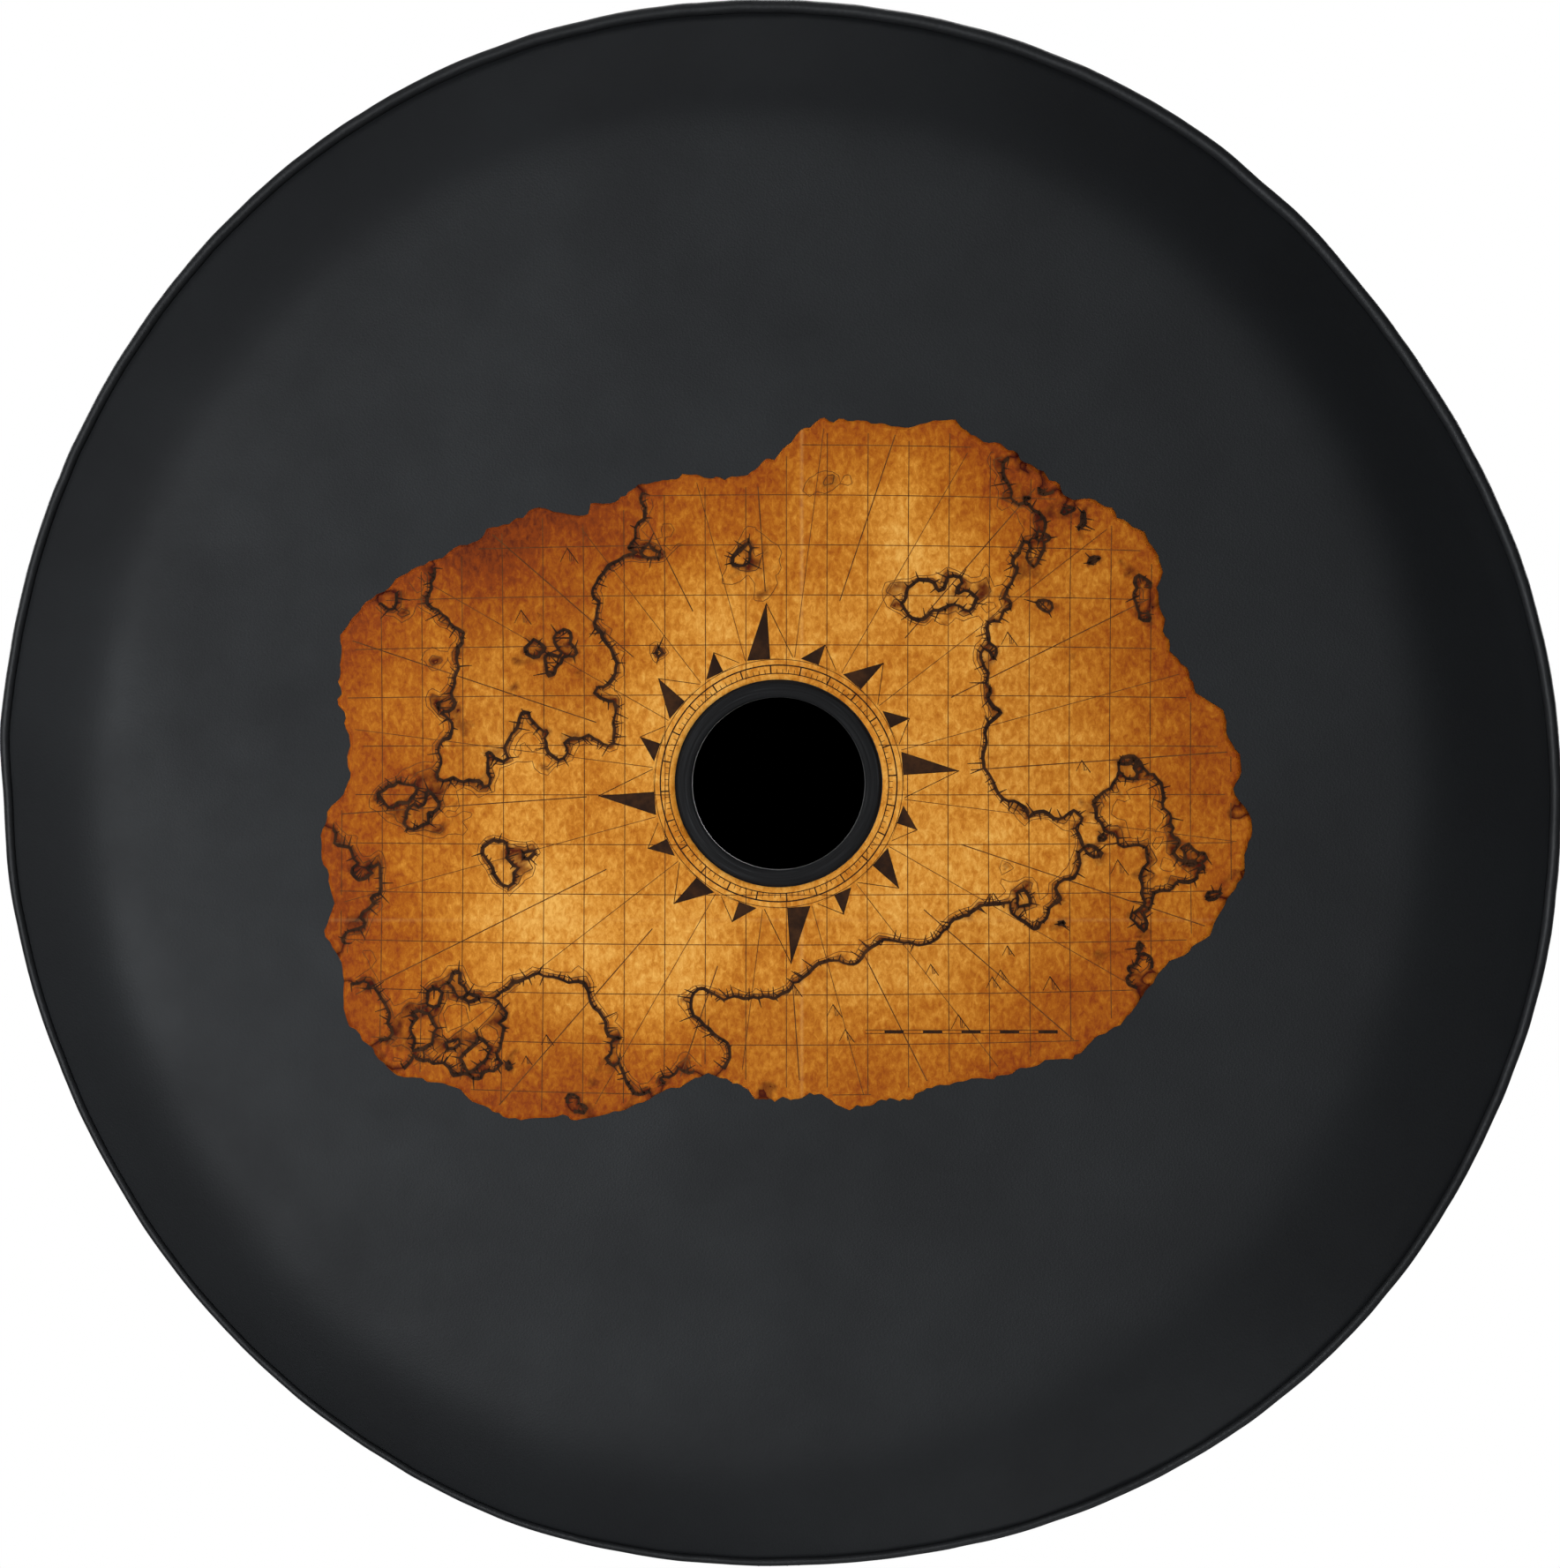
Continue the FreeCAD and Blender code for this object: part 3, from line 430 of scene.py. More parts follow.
faceVinyl = calenderedVinyl("faceVinyl", "0e0f11", "141618", 0.6)
pipingVinyl = calenderedVinyl("pipingVinyl", "121314", "1c1d1f", 0.54, grain=0.0022, depth=0.00012)
bindingVinyl = calenderedVinyl("bindingVinyl", "101113", "18191c", 0.6, grain=0.0013)
backing = knittedBacking()
rubber = mouldedRubber()
parchment = printedParchment()
coastInk = sepiaInk("coastInk", "24140a", "40250f")
fineInk = sepiaInk("fineInk", "4b2c14", "70431c")
# each weave's last two colours are painted light: the shade in its hollows and the highlight on its crowns
webbing = wovenWebbing("wovenWebbing", 13, 200, "101113", "2a2c2f")
elasticWeave = wovenWebbing("elasticWeave", 900, 14, "17181a", "3b3d40")
thread = spunThread()
acetal = mouldedAcetal()
brass = platedBrass()
print("materials made")

# face panel: flat in the middle, then a shoulder down to the seam
faceSizes = dict(
    hole=0.0482, flat=0.32, bend=0.398, flatStep=0.014, bendStep=0.0028, segments=540,
    seamRows=(0.3995, 0.4008, 0.4013, 0.4015, 0.4021, 0.406, 0.4115), turnedIn=0.01, allowanceEnd=-0.0912,
)


def faceRow(row, angle):
    if row <= cover["seamRadius"]:
        return facePoint(row, angle)
    # past the seam radius the panel turns back into its seam allowance
    share = (row - cover["seamRadius"]) / faceSizes["turnedIn"]
    edge = facePoint(cover["seamRadius"], angle)
    edge.y += (faceSizes["allowanceEnd"] - edge.y) * share
    return edge


faceRadii = spread(faceSizes["hole"], faceSizes["flat"], faceSizes["flatStep"])[:-1]
faceRadii += spread(faceSizes["flat"], faceSizes["bend"], faceSizes["bendStep"])
faceRadii += faceSizes["seamRows"]
faceColumns = turns(faceSizes["segments"])
facePiece = skinPiece("facePanel", faceRadii, faceColumns, faceRow, cover["vinyl"], faceVinyl, backing)
print("face panel made")

# piping: a bead and its flange, each a section carried round the seam
pipingSizes = dict(
    segments=720, flangeSegments=360, sides=14, flange=0.001, flangeEnd=-0.0912, waver=0.0004, squeeze=0.05,
)
beadSection = [("bead", 2 * math.pi * i / pipingSizes["sides"]) for i in range(pipingSizes["sides"])]
flangeSection = [("top", 0.0), ("top", 1.0), ("end", 1.0), ("end", 0.0)]


def pipingPlace(corner, angle):
    kind, value = corner
    radius = beadRadius(angle)
    centre = cover["beadOuter"] - radius + edgeShift(angle)
    depth = cover["seamDepth"] + pipingSizes["waver"] * ringNoise(angle, 0.03, 8.8)
    if kind == "bead":
        bent = radius * (1 + pipingSizes["squeeze"] * ringNoise(angle, 0.009, 2.2 + math.cos(value)))
        r, y = centre + bent * math.cos(value), depth + bent * math.sin(value)
    else:
        r = centre - radius + value * pipingSizes["flange"]
        y = depth if kind == "top" else pipingSizes["flangeEnd"]
    return onRing(r, y, angle)


pipingPiece = sweptPiece("edgePiping", beadSection, pipingSizes["segments"], pipingPlace, pipingVinyl)
flangePiece = sweptPiece("pipingFlange", flangeSection, pipingSizes["flangeSegments"], pipingPlace, pipingVinyl)
print("piping made")

# band: straight side, round rear corner, gathered rear
bandSizes = dict(
    outer=0.4092, front=-0.0995, cornerStart=0.1887, corner=0.040, back=0.1292, hemEdge=0.2954,
    pleats=108, pleatDepth=0.0031, pleatDrift=((3, 0.4, 1.5), (7, 2.0, 1.1), (13, 0.9, 0.6)),
    folds=41, foldDepth=0.0016, foldDrift=((4, 1.0, 1.3), (9, 0.0, 1.7)), sunk=0.0011, sideDent=0.0012, tuck=0.0008,
    strapHeight=-0.150, strapHeld=(0.024, 0.05), strapFrom=0.15, halfColumns=480, joint=0.0002,
    # the seam allowance and the fold over the piping: radius, depth and how far it follows the seam
    seamRows=(
        (0.4027, -0.0912, 1), (0.4027, -0.0983, 1), (0.4031, -0.0992, 1), (0.4038, -0.0995, 1),
        (0.4076, -0.0995, 0), (0.4087, -0.0992, 0),
    ),
)
drainSizes = dict(fromLowest=11, radius=0.0058, reach=0.408, length=0.03, sides=32)
cornerEnd = bandSizes["cornerStart"] + bandSizes["corner"] * math.pi / 2
flatStart = bandSizes["outer"] - bandSizes["corner"]
hemEnd = cornerEnd + flatStart - bandSizes["hemEdge"]


def pleatWave(angle):
    # irregular pleats: the elastic draws some closer than others
    phase = bandSizes["pleats"] * angle + swells(angle, bandSizes["pleatDrift"])
    return 0.85 * math.sin(phase) + 0.15 * math.sin(2 * phase + 1.1)


def foldWave(angle):
    return math.sin(bandSizes["folds"] * angle + swells(angle, bandSizes["foldDrift"]))


def besideStrap(x, z):
    # 0 under the strap and its patches, which hold the cloth flat, and 1 away from them
    if abs(x) < bandSizes["strapFrom"]:
        return 1.0
    return smooth(*bandSizes["strapHeld"], abs(z - bandSizes["strapHeight"]))


def bandSkin(along, angle):
    b = bandSizes
    if along < b["cornerStart"]:
        r, y, outR, outY = b["outer"], b["front"] + along, 1.0, 0.0
    elif along < cornerEnd:
        turn = (along - b["cornerStart"]) / b["corner"]
        outR, outY = math.cos(turn), math.sin(turn)
        r, y = flatStart + b["corner"] * outR, b["back"] - b["corner"] + b["corner"] * outY
    else:
        r, y, outR, outY = flatStart - (along - cornerEnd), b["back"], 0.0, 1.0
    gather = smooth(0.17, hemEnd, along)
    strength = 0.8 + 0.4 * ringNoise(angle, 0.05, 5.5)
    out = gather * b["pleatDepth"] * strength * pleatWave(angle)
    folded = smooth(0.1, 0.24, along) * (1 - 0.6 * smooth(0.26, hemEnd, along))
    out += b["foldDepth"] * folded * foldWave(angle)
    out -= b["sunk"] * gather
    out *= besideStrap(*onCircle(r, angle)) if along > 0.2 else 1.0
    # the side hangs between the seam and the tyre's tread in slow shallow dents
    side = smooth(0.0, 0.05, along) * (1 - smooth(0.2, 0.26, along))
    lowest = math.exp(-((math.degrees(angle) % 360 - 270) / 16) ** 2)
    out += side * (1 - lowest) * b["sideDent"] * lumps(*onCircle(5, angle), along * 11)
    tuck = -b["tuck"] * (1 - smooth(0.0, 0.03, along))
    r += (edgeShift(angle) + tuck) * (1 - smooth(0.02, 0.085, along))
    return onRing(r + out * outR, y + out * outY, angle)


def bandRow(row, angle):
    if not isinstance(row, tuple):
        return bandSkin(row, angle)
    r, y, loose = row
    return onRing(r + (edgeShift(angle) + loose * seamSlack(angle) - bandSizes["tuck"] * (1 - loose)), y, angle)


def lifted(skin, along, angle, lift):
    # a point on the skin, raised along the skin's own normal
    step = 2e-4
    down = skin(along + step, angle) - skin(along - step, angle)
    aside = skin(along, angle + step) - skin(along, angle - step)
    return skin(along, angle) + down.cross(aside).normalized() * lift


bandRows = [*bandSizes["seamRows"], *spread(0.0015, 0.16, 0.0075), *spread(0.16, hemEnd, 0.0038)[1:]]
bandPieces = []
for name, start, side in (("bandLeft", math.pi / 2, -1), ("bandRight", -math.pi / 2, 1)):
    joint = bandSizes["joint"]
    columns = turns(bandSizes["halfColumns"], start + joint, math.pi - 2 * joint, True)
    piece = skinPiece(name, bandRows, columns, bandRow, cover["vinyl"], faceVinyl, backing, closed=False)
    # the drain hole through this half
    bpy.ops.mesh.primitive_cylinder_add(
        vertices=drainSizes["sides"], radius=drainSizes["radius"], depth=drainSizes["length"],
    )
    punch = bpy.context.object
    out = onRing(1, 0, math.radians(-90 + side * drainSizes["fromLowest"]))
    punch.location = out * drainSizes["reach"]
    punch.rotation_mode = "QUATERNION"
    punch.rotation_quaternion = out.to_track_quat("Z", "Y")
    hole = piece.modifiers.new("drainHole", "BOOLEAN")
    hole.operation = "DIFFERENCE"
    hole.solver = "EXACT"
    hole.object = punch
    bakeModifiers(piece)
    bpy.data.objects.remove(punch)
    bandPieces.append(piece)
print("band made")

# hem channel: the folded hem that holds the elastic, with the band's edge between its two layers
hemSizes = dict(inner=0.276, outer=0.3034, rear=0.0013, tyreSide=-0.0025, wall=0.0011, columns=960)


def hemAlong(radius):
    return cornerEnd + flatStart - radius


def hemRow(row, angle):
    radius, lift = row
    return lifted(bandSkin, hemAlong(radius), angle, lift)


foldMiddle = (hemSizes["rear"] + hemSizes["tyreSide"]) / 2
foldRadius = (hemSizes["rear"] - hemSizes["tyreSide"]) / 2
hemRows = (
    [(r, hemSizes["rear"]) for r in spread(hemSizes["outer"], hemSizes["inner"] + foldRadius, 0.0032)]
    + [
        (hemSizes["inner"] + foldRadius * (1 - math.sin(t)), foldMiddle + foldRadius * math.cos(t))
        for t in (0.5, 1.0, 1.57, 2.1, 2.6)
    ]
    + [(r, hemSizes["tyreSide"]) for r in spread(hemSizes["inner"] + foldRadius, hemSizes["outer"], 0.0045)]
)
hemColumns = turns(hemSizes["columns"])
hemPiece = skinPiece("hemChannel", hemRows, hemColumns, hemRow, hemSizes["wall"], bindingVinyl, backing)

elasticSizes = dict(outer=0.2945, inner=0.2790, lift=-0.0002, thick=0.0008)
elasticRows = [(r, elasticSizes["lift"]) for r in spread(elasticSizes["outer"], elasticSizes["inner"], 0.004)]
elasticPiece = skinPiece("hemElastic", elasticRows, hemColumns, hemRow, elasticSizes["thick"], elasticWeave)
print("hem made")


# stitches: a row of thread laid along a path, by geometry nodes
def stitchRowTree():
    tree = bpy.data.node_groups.new("stitchRow", "GeometryNodeTree")
    sockets = tree.interface
    sockets.new_socket("Geometry", in_out="INPUT", socket_type="NodeSocketGeometry")
    for label, value in (("Pitch", 0.005), ("Stitch Length", 0.0042), ("Thread Width", 0.0008)):
        sockets.new_socket(label, in_out="INPUT", socket_type="NodeSocketFloat").default_value = value
    sockets.new_socket("Seed", in_out="INPUT", socket_type="NodeSocketInt").default_value = 4
    sockets.new_socket("Material", in_out="INPUT", socket_type="NodeSocketMaterial")
    sockets.new_socket("Geometry", in_out="OUTPUT", socket_type="NodeSocketGeometry")
    given = addNode(tree, "NodeGroupInput").outputs
    path = addNode(tree, "GeometryNodeMeshToCurve", {"Mesh": given["Geometry"]})
    marks = addNode(tree, "GeometryNodeResampleCurve", {"mode": "LENGTH", "Curve": path, "Length": given["Pitch"]})
    heading = addNode(tree, "GeometryNodeInputTangent")
    turned = addNode(tree, "FunctionNodeAlignRotationToVector", {"axis": "X", "Vector": heading})
    ball = addNode(tree, "GeometryNodeMeshUVSphere", {"Segments": 6, "Rings": 4, "Radius": 0.5})
    thick = given["Thread Width"]
    size = addNode(tree, "CombineXYZ", {0: given["Stitch Length"], 1: thick, 2: thick})
    bead = addNode(tree, "GeometryNodeTransform", {"Geometry": ball, "Scale": size})
    vary = addNode(tree, "FunctionNodeRandomValue", {"data_type": "FLOAT", 2: 0.88, 3: 1.08, "Seed": given["Seed"]})
    laid = addNode(
        tree, "GeometryNodeInstanceOnPoints",
        {"Points": marks, "Instance": bead, "Rotation": turned, "Scale": vary.outputs[1]},
    )
    real = addNode(tree, "GeometryNodeRealizeInstances", {0: laid})
    soft = addNode(tree, "GeometryNodeSetShadeSmooth", {0: real})
    dyed = addNode(tree, "GeometryNodeSetMaterial", {"Geometry": soft, "Material": given["Material"]})
    addNode(tree, "NodeGroupOutput", {0: dyed})
    return tree


stitchTree = stitchRowTree()


def stitchRows(name, paths, pitch=0.005, length=0.0042, width=0.0008):
    # paths: lists of points; a closed path repeats its first point
    vertices, edges = [], []
    for points in paths:
        first = len(vertices)
        vertices += points
        edges += [(first + i, first + i + 1) for i in range(len(points) - 1)]
    piece = addObject(name, newMesh(name, vertices, edges=edges))
    nodes = piece.modifiers.new("stitches", "NODES")
    nodes.node_group = stitchTree
    wanted = {"Pitch": pitch, "Stitch Length": length, "Thread Width": width, "Seed": 4, "Material": thread}
    for socket in stitchTree.interface.items_tree:
        if socket.in_out == "INPUT" and socket.name in wanted:
            nodes[socket.identifier] = wanted[socket.name]
    bakeModifiers(piece)
    return piece


def circlePath(count, point):
    return [point(a) for a in turns(count)] + [point(0.0)]


threadSizes = dict(seamDepth=-0.0952, seamClear=0.0003, hemRadius=0.2994, proud=0.00015)


def seamInside(angle):
    r = cover["seamRadius"] + seamSlack(angle) + edgeShift(angle) - cover["vinyl"] - threadSizes["seamClear"]
    return onRing(r, threadSizes["seamDepth"], angle)


def hemPath(lift):
    return circlePath(1440, lambda a: lifted(bandSkin, hemAlong(threadSizes["hemRadius"]), a, lift))


faceStitches = stitchRows("faceSeamStitches", [circlePath(720, seamInside)])
hemSides = (hemSizes["rear"] + threadSizes["proud"], hemSizes["tyreSide"] - threadSizes["proud"])
hemStitches = stitchRows("hemStitches", [hemPath(lift) for lift in hemSides], pitch=0.0055, length=0.0046)
print("seam stitches made")

# joint strips over the two joins of the band, top and bottom
stripSizes = dict(
    half=0.014, start=0.004, length=0.180, lift=0.0013, wall=0.0011, rows=(0.0045, 0.0105), inset=0.003,
)
stripEnd = stripSizes["start"] + stripSizes["length"]
stripPieces, stripStitches = [], []


def onBand(lift):
    return lambda along, angle: lifted(bandSkin, along, angle, lift)


for name, middle in (("jointStripTop", math.pi / 2), ("jointStripBottom", -math.pi / 2)):
    half = stripSizes["half"] / bandSizes["outer"]
    columns = turns(10, middle - half, 2 * half, True)
    rows = spread(stripSizes["start"], stripEnd, 0.006)
    laid = onBand(stripSizes["lift"])
    stripPieces.append(skinPiece(name, rows, columns, laid, stripSizes["wall"], bindingVinyl, closed=False))
    raised = onBand(stripSizes["lift"] + threadSizes["proud"])
    for side in (-1, 1):
        for row in stripSizes["rows"]:
            at = middle + side * row / bandSizes["outer"]
            marks = spread(stripSizes["start"] + stripSizes["inset"], stripEnd - stripSizes["inset"], 0.003)
            stripStitches.append([raised(along, at) for along in marks])
stripStitchPiece = stitchRows("jointStitches", stripStitches, pitch=0.0046, length=0.0038)
print("joint strips made")

# ring round the camera hole
# its section as radius and depth: front lip with two shallow grooves, neck in the skin, rear flange, collar
ringSizes = dict(segments=192, section=(
    (0.0449, -0.1300), (0.0451, -0.1309), (0.0458, -0.13148), (0.0478, -0.1315), (0.0482, -0.13138),
    (0.0486, -0.1315), (0.0505, -0.13142), (0.0509, -0.13128), (0.0513, -0.13134), (0.0523, -0.1311),
    (0.0530, -0.1304), (0.0532, -0.1296), (0.0532, -0.1293), (0.0482, -0.1293), (0.0482, -0.1268),
    (0.0568, -0.1268), (0.0570, -0.1262), (0.0566, -0.1253), (0.0558, -0.1250), (0.0476, -0.1250),
    (0.0473, -0.1247), (0.0473, -0.1174), (0.0469, -0.1170), (0.0453, -0.1170), (0.0449, -0.1174),
))
gasketPiece = sweptPiece(
    "cameraRing", ringSizes["section"], ringSizes["segments"], lambda corner, a: onRing(*corner, a), rubber,
)
print("camera ring made")

# strap of woven webbing, its patches and stitches
# run, fold and middle are depths: of the strap itself, of its folded end, and of the bar that it turns round
strapSizes = dict(
    width=0.025, thick=0.0015, height=-0.150, run=0.13135, fold=0.13295, loop=0.0029, middle=0.13425,
    end=0.31604, settle=0.018, uvLength=0.3,
)


def strapPath(side, bar, tail):
    # side is 1 for the right strap and -1 for the left; the points are (across, depth)
    s = strapSizes
    points = [(side * x, s["run"]) for x in spread(s["end"], bar, 0.004)]
    for t in spread(0, math.pi, 0.35)[1:]:
        points.append((side * (bar - s["loop"] * math.sin(t)), s["middle"] - s["loop"] * math.cos(t)))
    high, flat = s["middle"] + s["loop"], bar + s["settle"]
    for x in spread(bar, flat, 0.0015)[1:]:
        points.append((side * x, high + (s["fold"] - high) * smooth(bar, flat, x)))
    points += [(side * x, s["fold"]) for x in spread(flat, tail, 0.004)[1:]]
    return points


def strapPiece(name, side, bar, tail):
    # a flat section with rounded selvedges, carried along the path
    s = strapSizes
    path = [Vector(point) for point in strapPath(side, bar, tail)]
    reach = [0.0]
    for before, after in zip(path, path[1:]):
        reach.append(reach[-1] + (after - before).length)
    half, thick = s["width"] / 2, s["thick"] / 2
    section = [(-half, -0.3), (-half + 0.0003, -0.8)]
    section += [(x, -1.0) for x in spread(-half + 0.0012, half - 0.0012, 0.0028)]
    section += [(half - 0.0003, -0.8), (half, -0.3)]
    section += [(-a, -b) for a, b in section]

    def corner(i, place):
        run = (path[min(len(path) - 1, i + 1)] - path[max(0, i - 1)]).normalized()
        across, up = place
        return Vector((path[i].x - run.y * up * thick, path[i].y + run.x * up * thick, s["height"] + across))

    mesh = gridMesh(name, range(len(path)), section, corner, capped=True)
    layer = mesh.uv_layers["along"]
    for loop in mesh.loops:
        i, j = divmod(loop.vertex_index, len(section))
        layer.data[loop.index].uv = (reach[i] / s["uvLength"], section[j][0] / s["width"] + 0.5)
    return addObject(name, mergedMesh(mesh), webbing)


strapShort = strapPiece("strapShort", -1, 0.029, 0.067)
strapLong = strapPiece("strapLong", 1, 0.0205, 0.1165)

patchSizes = dict(
    near=0.2765, far=0.3210, low=-0.170, high=-0.130, under=0.1293, top=0.1305, corner=0.004,
    # how far the edge's rings lie in from the outline and below the top
    softEdge=((0.0, 0.0005), (0.0004, 0.0001), (0.0012, 0.0), (0.006, 0.0), (0.014, 0.0)),
    stitchInset=0.003, stitchCorner=0.002, stitchLift=0.0002,
)
# the box and cross that sew the strap down on its patch
boxSizes = dict(near=0.2793, far=0.3133, low=-0.1595, high=-0.1405, depth=0.1323)
patchPieces, patchPaths, boxPaths = [], [], []


def patchRing(side, inset, corner, y, steps=5):
    # the patch's outline, drawn in by inset, with rounded corners
    p = patchSizes
    x0, x1 = sorted((side * p["near"], side * p["far"]))
    x0, x1 = x0 + inset + corner, x1 - inset - corner
    z0, z1 = p["low"] + inset + corner, p["high"] - inset - corner
    points = []
    for quarter, (x, z) in enumerate(((x1, z1), (x0, z1), (x0, z0), (x1, z0))):
        for i in range(steps + 1):
            points.append(Vector((x, 0, z)) + onRing(corner, y, math.pi / 2 * (quarter + i / steps)))
    return points


for name, side in (("strapPatchLeft", -1), ("strapPatchRight", 1)):
    p, b = patchSizes, boxSizes
    rings = [patchRing(side, 0.0, p["corner"], p["under"])]
    for inset, below in p["softEdge"]:
        rings.append(patchRing(side, inset, max(0.0006, p["corner"] - inset), p["top"] - below))
    mesh = gridMesh(name, rings, range(len(rings[0])), lambda ring, j: ring[j], capped=True)
    patchPieces.append(addObject(name, mergedMesh(mesh), bindingVinyl))
    edge = patchRing(side, p["stitchInset"], p["stitchCorner"], p["top"] + p["stitchLift"])
    patchPaths.append(edge + edge[:1])
    near, far = side * b["near"], side * b["far"]
    ends = ((near, b["low"]), (far, b["low"]), (far, b["high"]), (near, b["high"]))
    corners = [Vector((x, b["depth"], z)) for x, z in ends]
    boxPaths.append(corners + corners[:1])
    boxPaths += [corners[::2], corners[1::2]]
patchStitches = stitchRows("patchStitches", patchPaths, pitch=0.0034, length=0.0029, width=0.0006)
boxStitches = stitchRows("strapStitches", boxPaths, pitch=0.003, length=0.0026, width=0.0007)
print("straps made")

# print: a scorched chart of an invented coast, with a compass rose round the camera hole
printSizes = dict(
    halfWidth=0.252, halfHeight=0.180, tilt=9, hole=0.054, film=0.00012, columns=500, rings=70,
    # how far the film and its two layers of ink stand off the vinyl
    lift=0.00022, fineLift=0.0003, coastLift=0.00034,
    landScale=0.12, seed=11.3, margin=0.004,
    # the outline's lobes: how many, where they begin and how far they stand out
    lobes=((3, 2.6, 0.04), (5, 0.7, 0.035), (9, 1.9, 0.018), (14, 0.3, 0.012)),
)


def printReach(angle):
    t = angle - math.radians(printSizes["tilt"])
    a, b = printSizes["halfWidth"], printSizes["halfHeight"]
    square = (abs(math.cos(t) / a) ** 3 + abs(math.sin(t) / b) ** 3) ** (-1 / 3)
    swell = 0.93 + sum(out * math.cos(count * t + lead) for count, lead, out in printSizes["lobes"])
    torn = 0.007 * lumps(*onCircle(11, t), 1.5) + 0.003 * lumps(*onCircle(42, t), 7.5)
    return square * swell + torn - 0.002


def landHeight(x, z):
    # above 0 is land: broad masses with ragged fine coasts, clear of the hole
    place = Vector((x / printSizes["landScale"], z / printSizes["landScale"], printSizes["seed"]))
    broad = noise.noise(place) + 0.62 * noise.noise(place * 2.3) + 0.36 * noise.noise(place * 5.1)
    fine = 0.2 * noise.noise(place * 11.7) + 0.11 * noise.noise(place * 24.0)
    clear = 0.9 * (1 - smooth(0.06, 0.125, math.hypot(x, z)))
    return broad + fine + 0.1 - clear


def onFace(x, z, lift):
    depth = cover["front"] + faceWave(x, z) * smooth(0.06, 0.1, math.hypot(x, z))
    return Vector((x, depth - lift, z))


def printPoint(row, angle):
    r = printSizes["hole"] + (printReach(angle) - printSizes["hole"]) * row
    return onFace(*onCircle(r, angle), printSizes["lift"])


printRings, printColumns = spread(0, 1, 1 / printSizes["rings"]), turns(printSizes["columns"])
printPiece = skinPiece("chartSheet", printRings, printColumns, printPoint, printSizes["film"], parchment)
heights = printPiece.data.attributes.new("landHeight", "FLOAT", "POINT")
edges = printPiece.data.attributes.new("edgeShare", "FLOAT", "POINT")
for i, vertex in enumerate(printPiece.data.vertices):
    x, _, z = vertex.co
    heights.data[i].value = landHeight(x, z)
    edges.data[i].value = math.hypot(x, z) / printReach(math.atan2(z, x))


def insideSheet(x, z, margin=printSizes["margin"]):
    r = math.hypot(x, z)
    return printSizes["hole"] + 0.0015 < r < printReach(math.atan2(z, x)) - margin


class InkLines:
    # flat ribbons of ink that lie on the sheet
    def __init__(self, lift):
        self.lift = lift
        self.vertices, self.faces = [], []

    def stroke(self, points, widths):
        # points are (x, z); widths is one width or one for each point
        if len(points) < 2:
            return
        if not hasattr(widths, "__len__"):
            widths = [widths] * len(points)
        first = len(self.vertices)
        for i, (x, z) in enumerate(points):
            before, after = points[max(0, i - 1)], points[min(len(points) - 1, i + 1)]
            run = Vector((after[0] - before[0], after[1] - before[1]))
            run = run.normalized() if run.length else Vector((1, 0))
            for side in (0.5, -0.5):
                out = side * widths[i]
                self.vertices.append(onFace(x - run.y * out, z + run.x * out, self.lift))
        for i in range(len(points) - 1):
            a = first + 2 * i
            self.faces.append((a, a + 1, a + 3, a + 2))

    def area(self, points):
        first = len(self.vertices)
        self.vertices += [onFace(x, z, self.lift) for x, z in points]
        self.faces.append(tuple(range(first, first + len(points))))

    def piece(self, name, material):
        mesh = newMesh(name, self.vertices, self.faces)
        made = addObject(name, mesh, material)
        for polygon in mesh.polygons:
            if polygon.normal.y > 0:
                polygon.flip()
        return made


def contours(level, step=0.0026, halfX=0.26, halfZ=0.2):
    # the lines where the land's height crosses a level, as chains of points
    wide, tall = int(2 * halfX / step), int(2 * halfZ / step)
    grid = [
        [landHeight(-halfX + i * step, -halfZ + j * step) - level for j in range(tall + 1)]
        for i in range(wide + 1)
    ]

    def crossing(a, b):
        (i, j), (k, m) = sorted((a, b))
        share = grid[i][j] / (grid[i][j] - grid[k][m])
        return (-halfX + (i + (k - i) * share) * step, -halfZ + (j + (m - j) * share) * step)

    links = {}
    for i in range(wide):
        for j in range(tall):
            corners = [(i, j), (i + 1, j), (i + 1, j + 1), (i, j + 1)]
            cut = []
            for n in range(4):
                a, b = corners[n], corners[(n + 1) % 4]
                if (grid[a[0]][a[1]] > 0) != (grid[b[0]][b[1]] > 0):
                    cut.append(tuple(sorted((a, b))))
            for n in range(0, len(cut) - 1, 2):
                links.setdefault(cut[n], []).append(cut[n + 1])
                links.setdefault(cut[n + 1], []).append(cut[n])
    chains, seen = [], set()
    for start in sorted(links, key=lambda e: (len(links[e]), e)):
        if start in seen:
            continue
        chain, here = [start], start
        seen.add(start)
        while True:
            onward = [e for e in links[here] if e not in seen]
            if not onward:
                if len(links[start]) == 2 and start in links[here] and len(chain) > 3:
                    chain.append(start)
                break
            here = onward[0]
            seen.add(here)
            chain.append(here)
        chains.append([crossing(*e) for e in chain])
    return chains


def clipped(points):
    # the stretches of a line that lie on the sheet
    run, runs = [], []
    for p in points:
        if insideSheet(*p):
            run.append(p)
        elif run:
            runs.append(run)
            run = []
    return runs + ([run] if run else [])


def shoreRuns(level, **grid):
    # short scraps of shore are left out
    return [run for chain in contours(level, **grid) for run in clipped(chain) if len(run) > 6]


def strokeClipped(points, width):
    for run in clipped(points):
        fine.stroke(run, width)


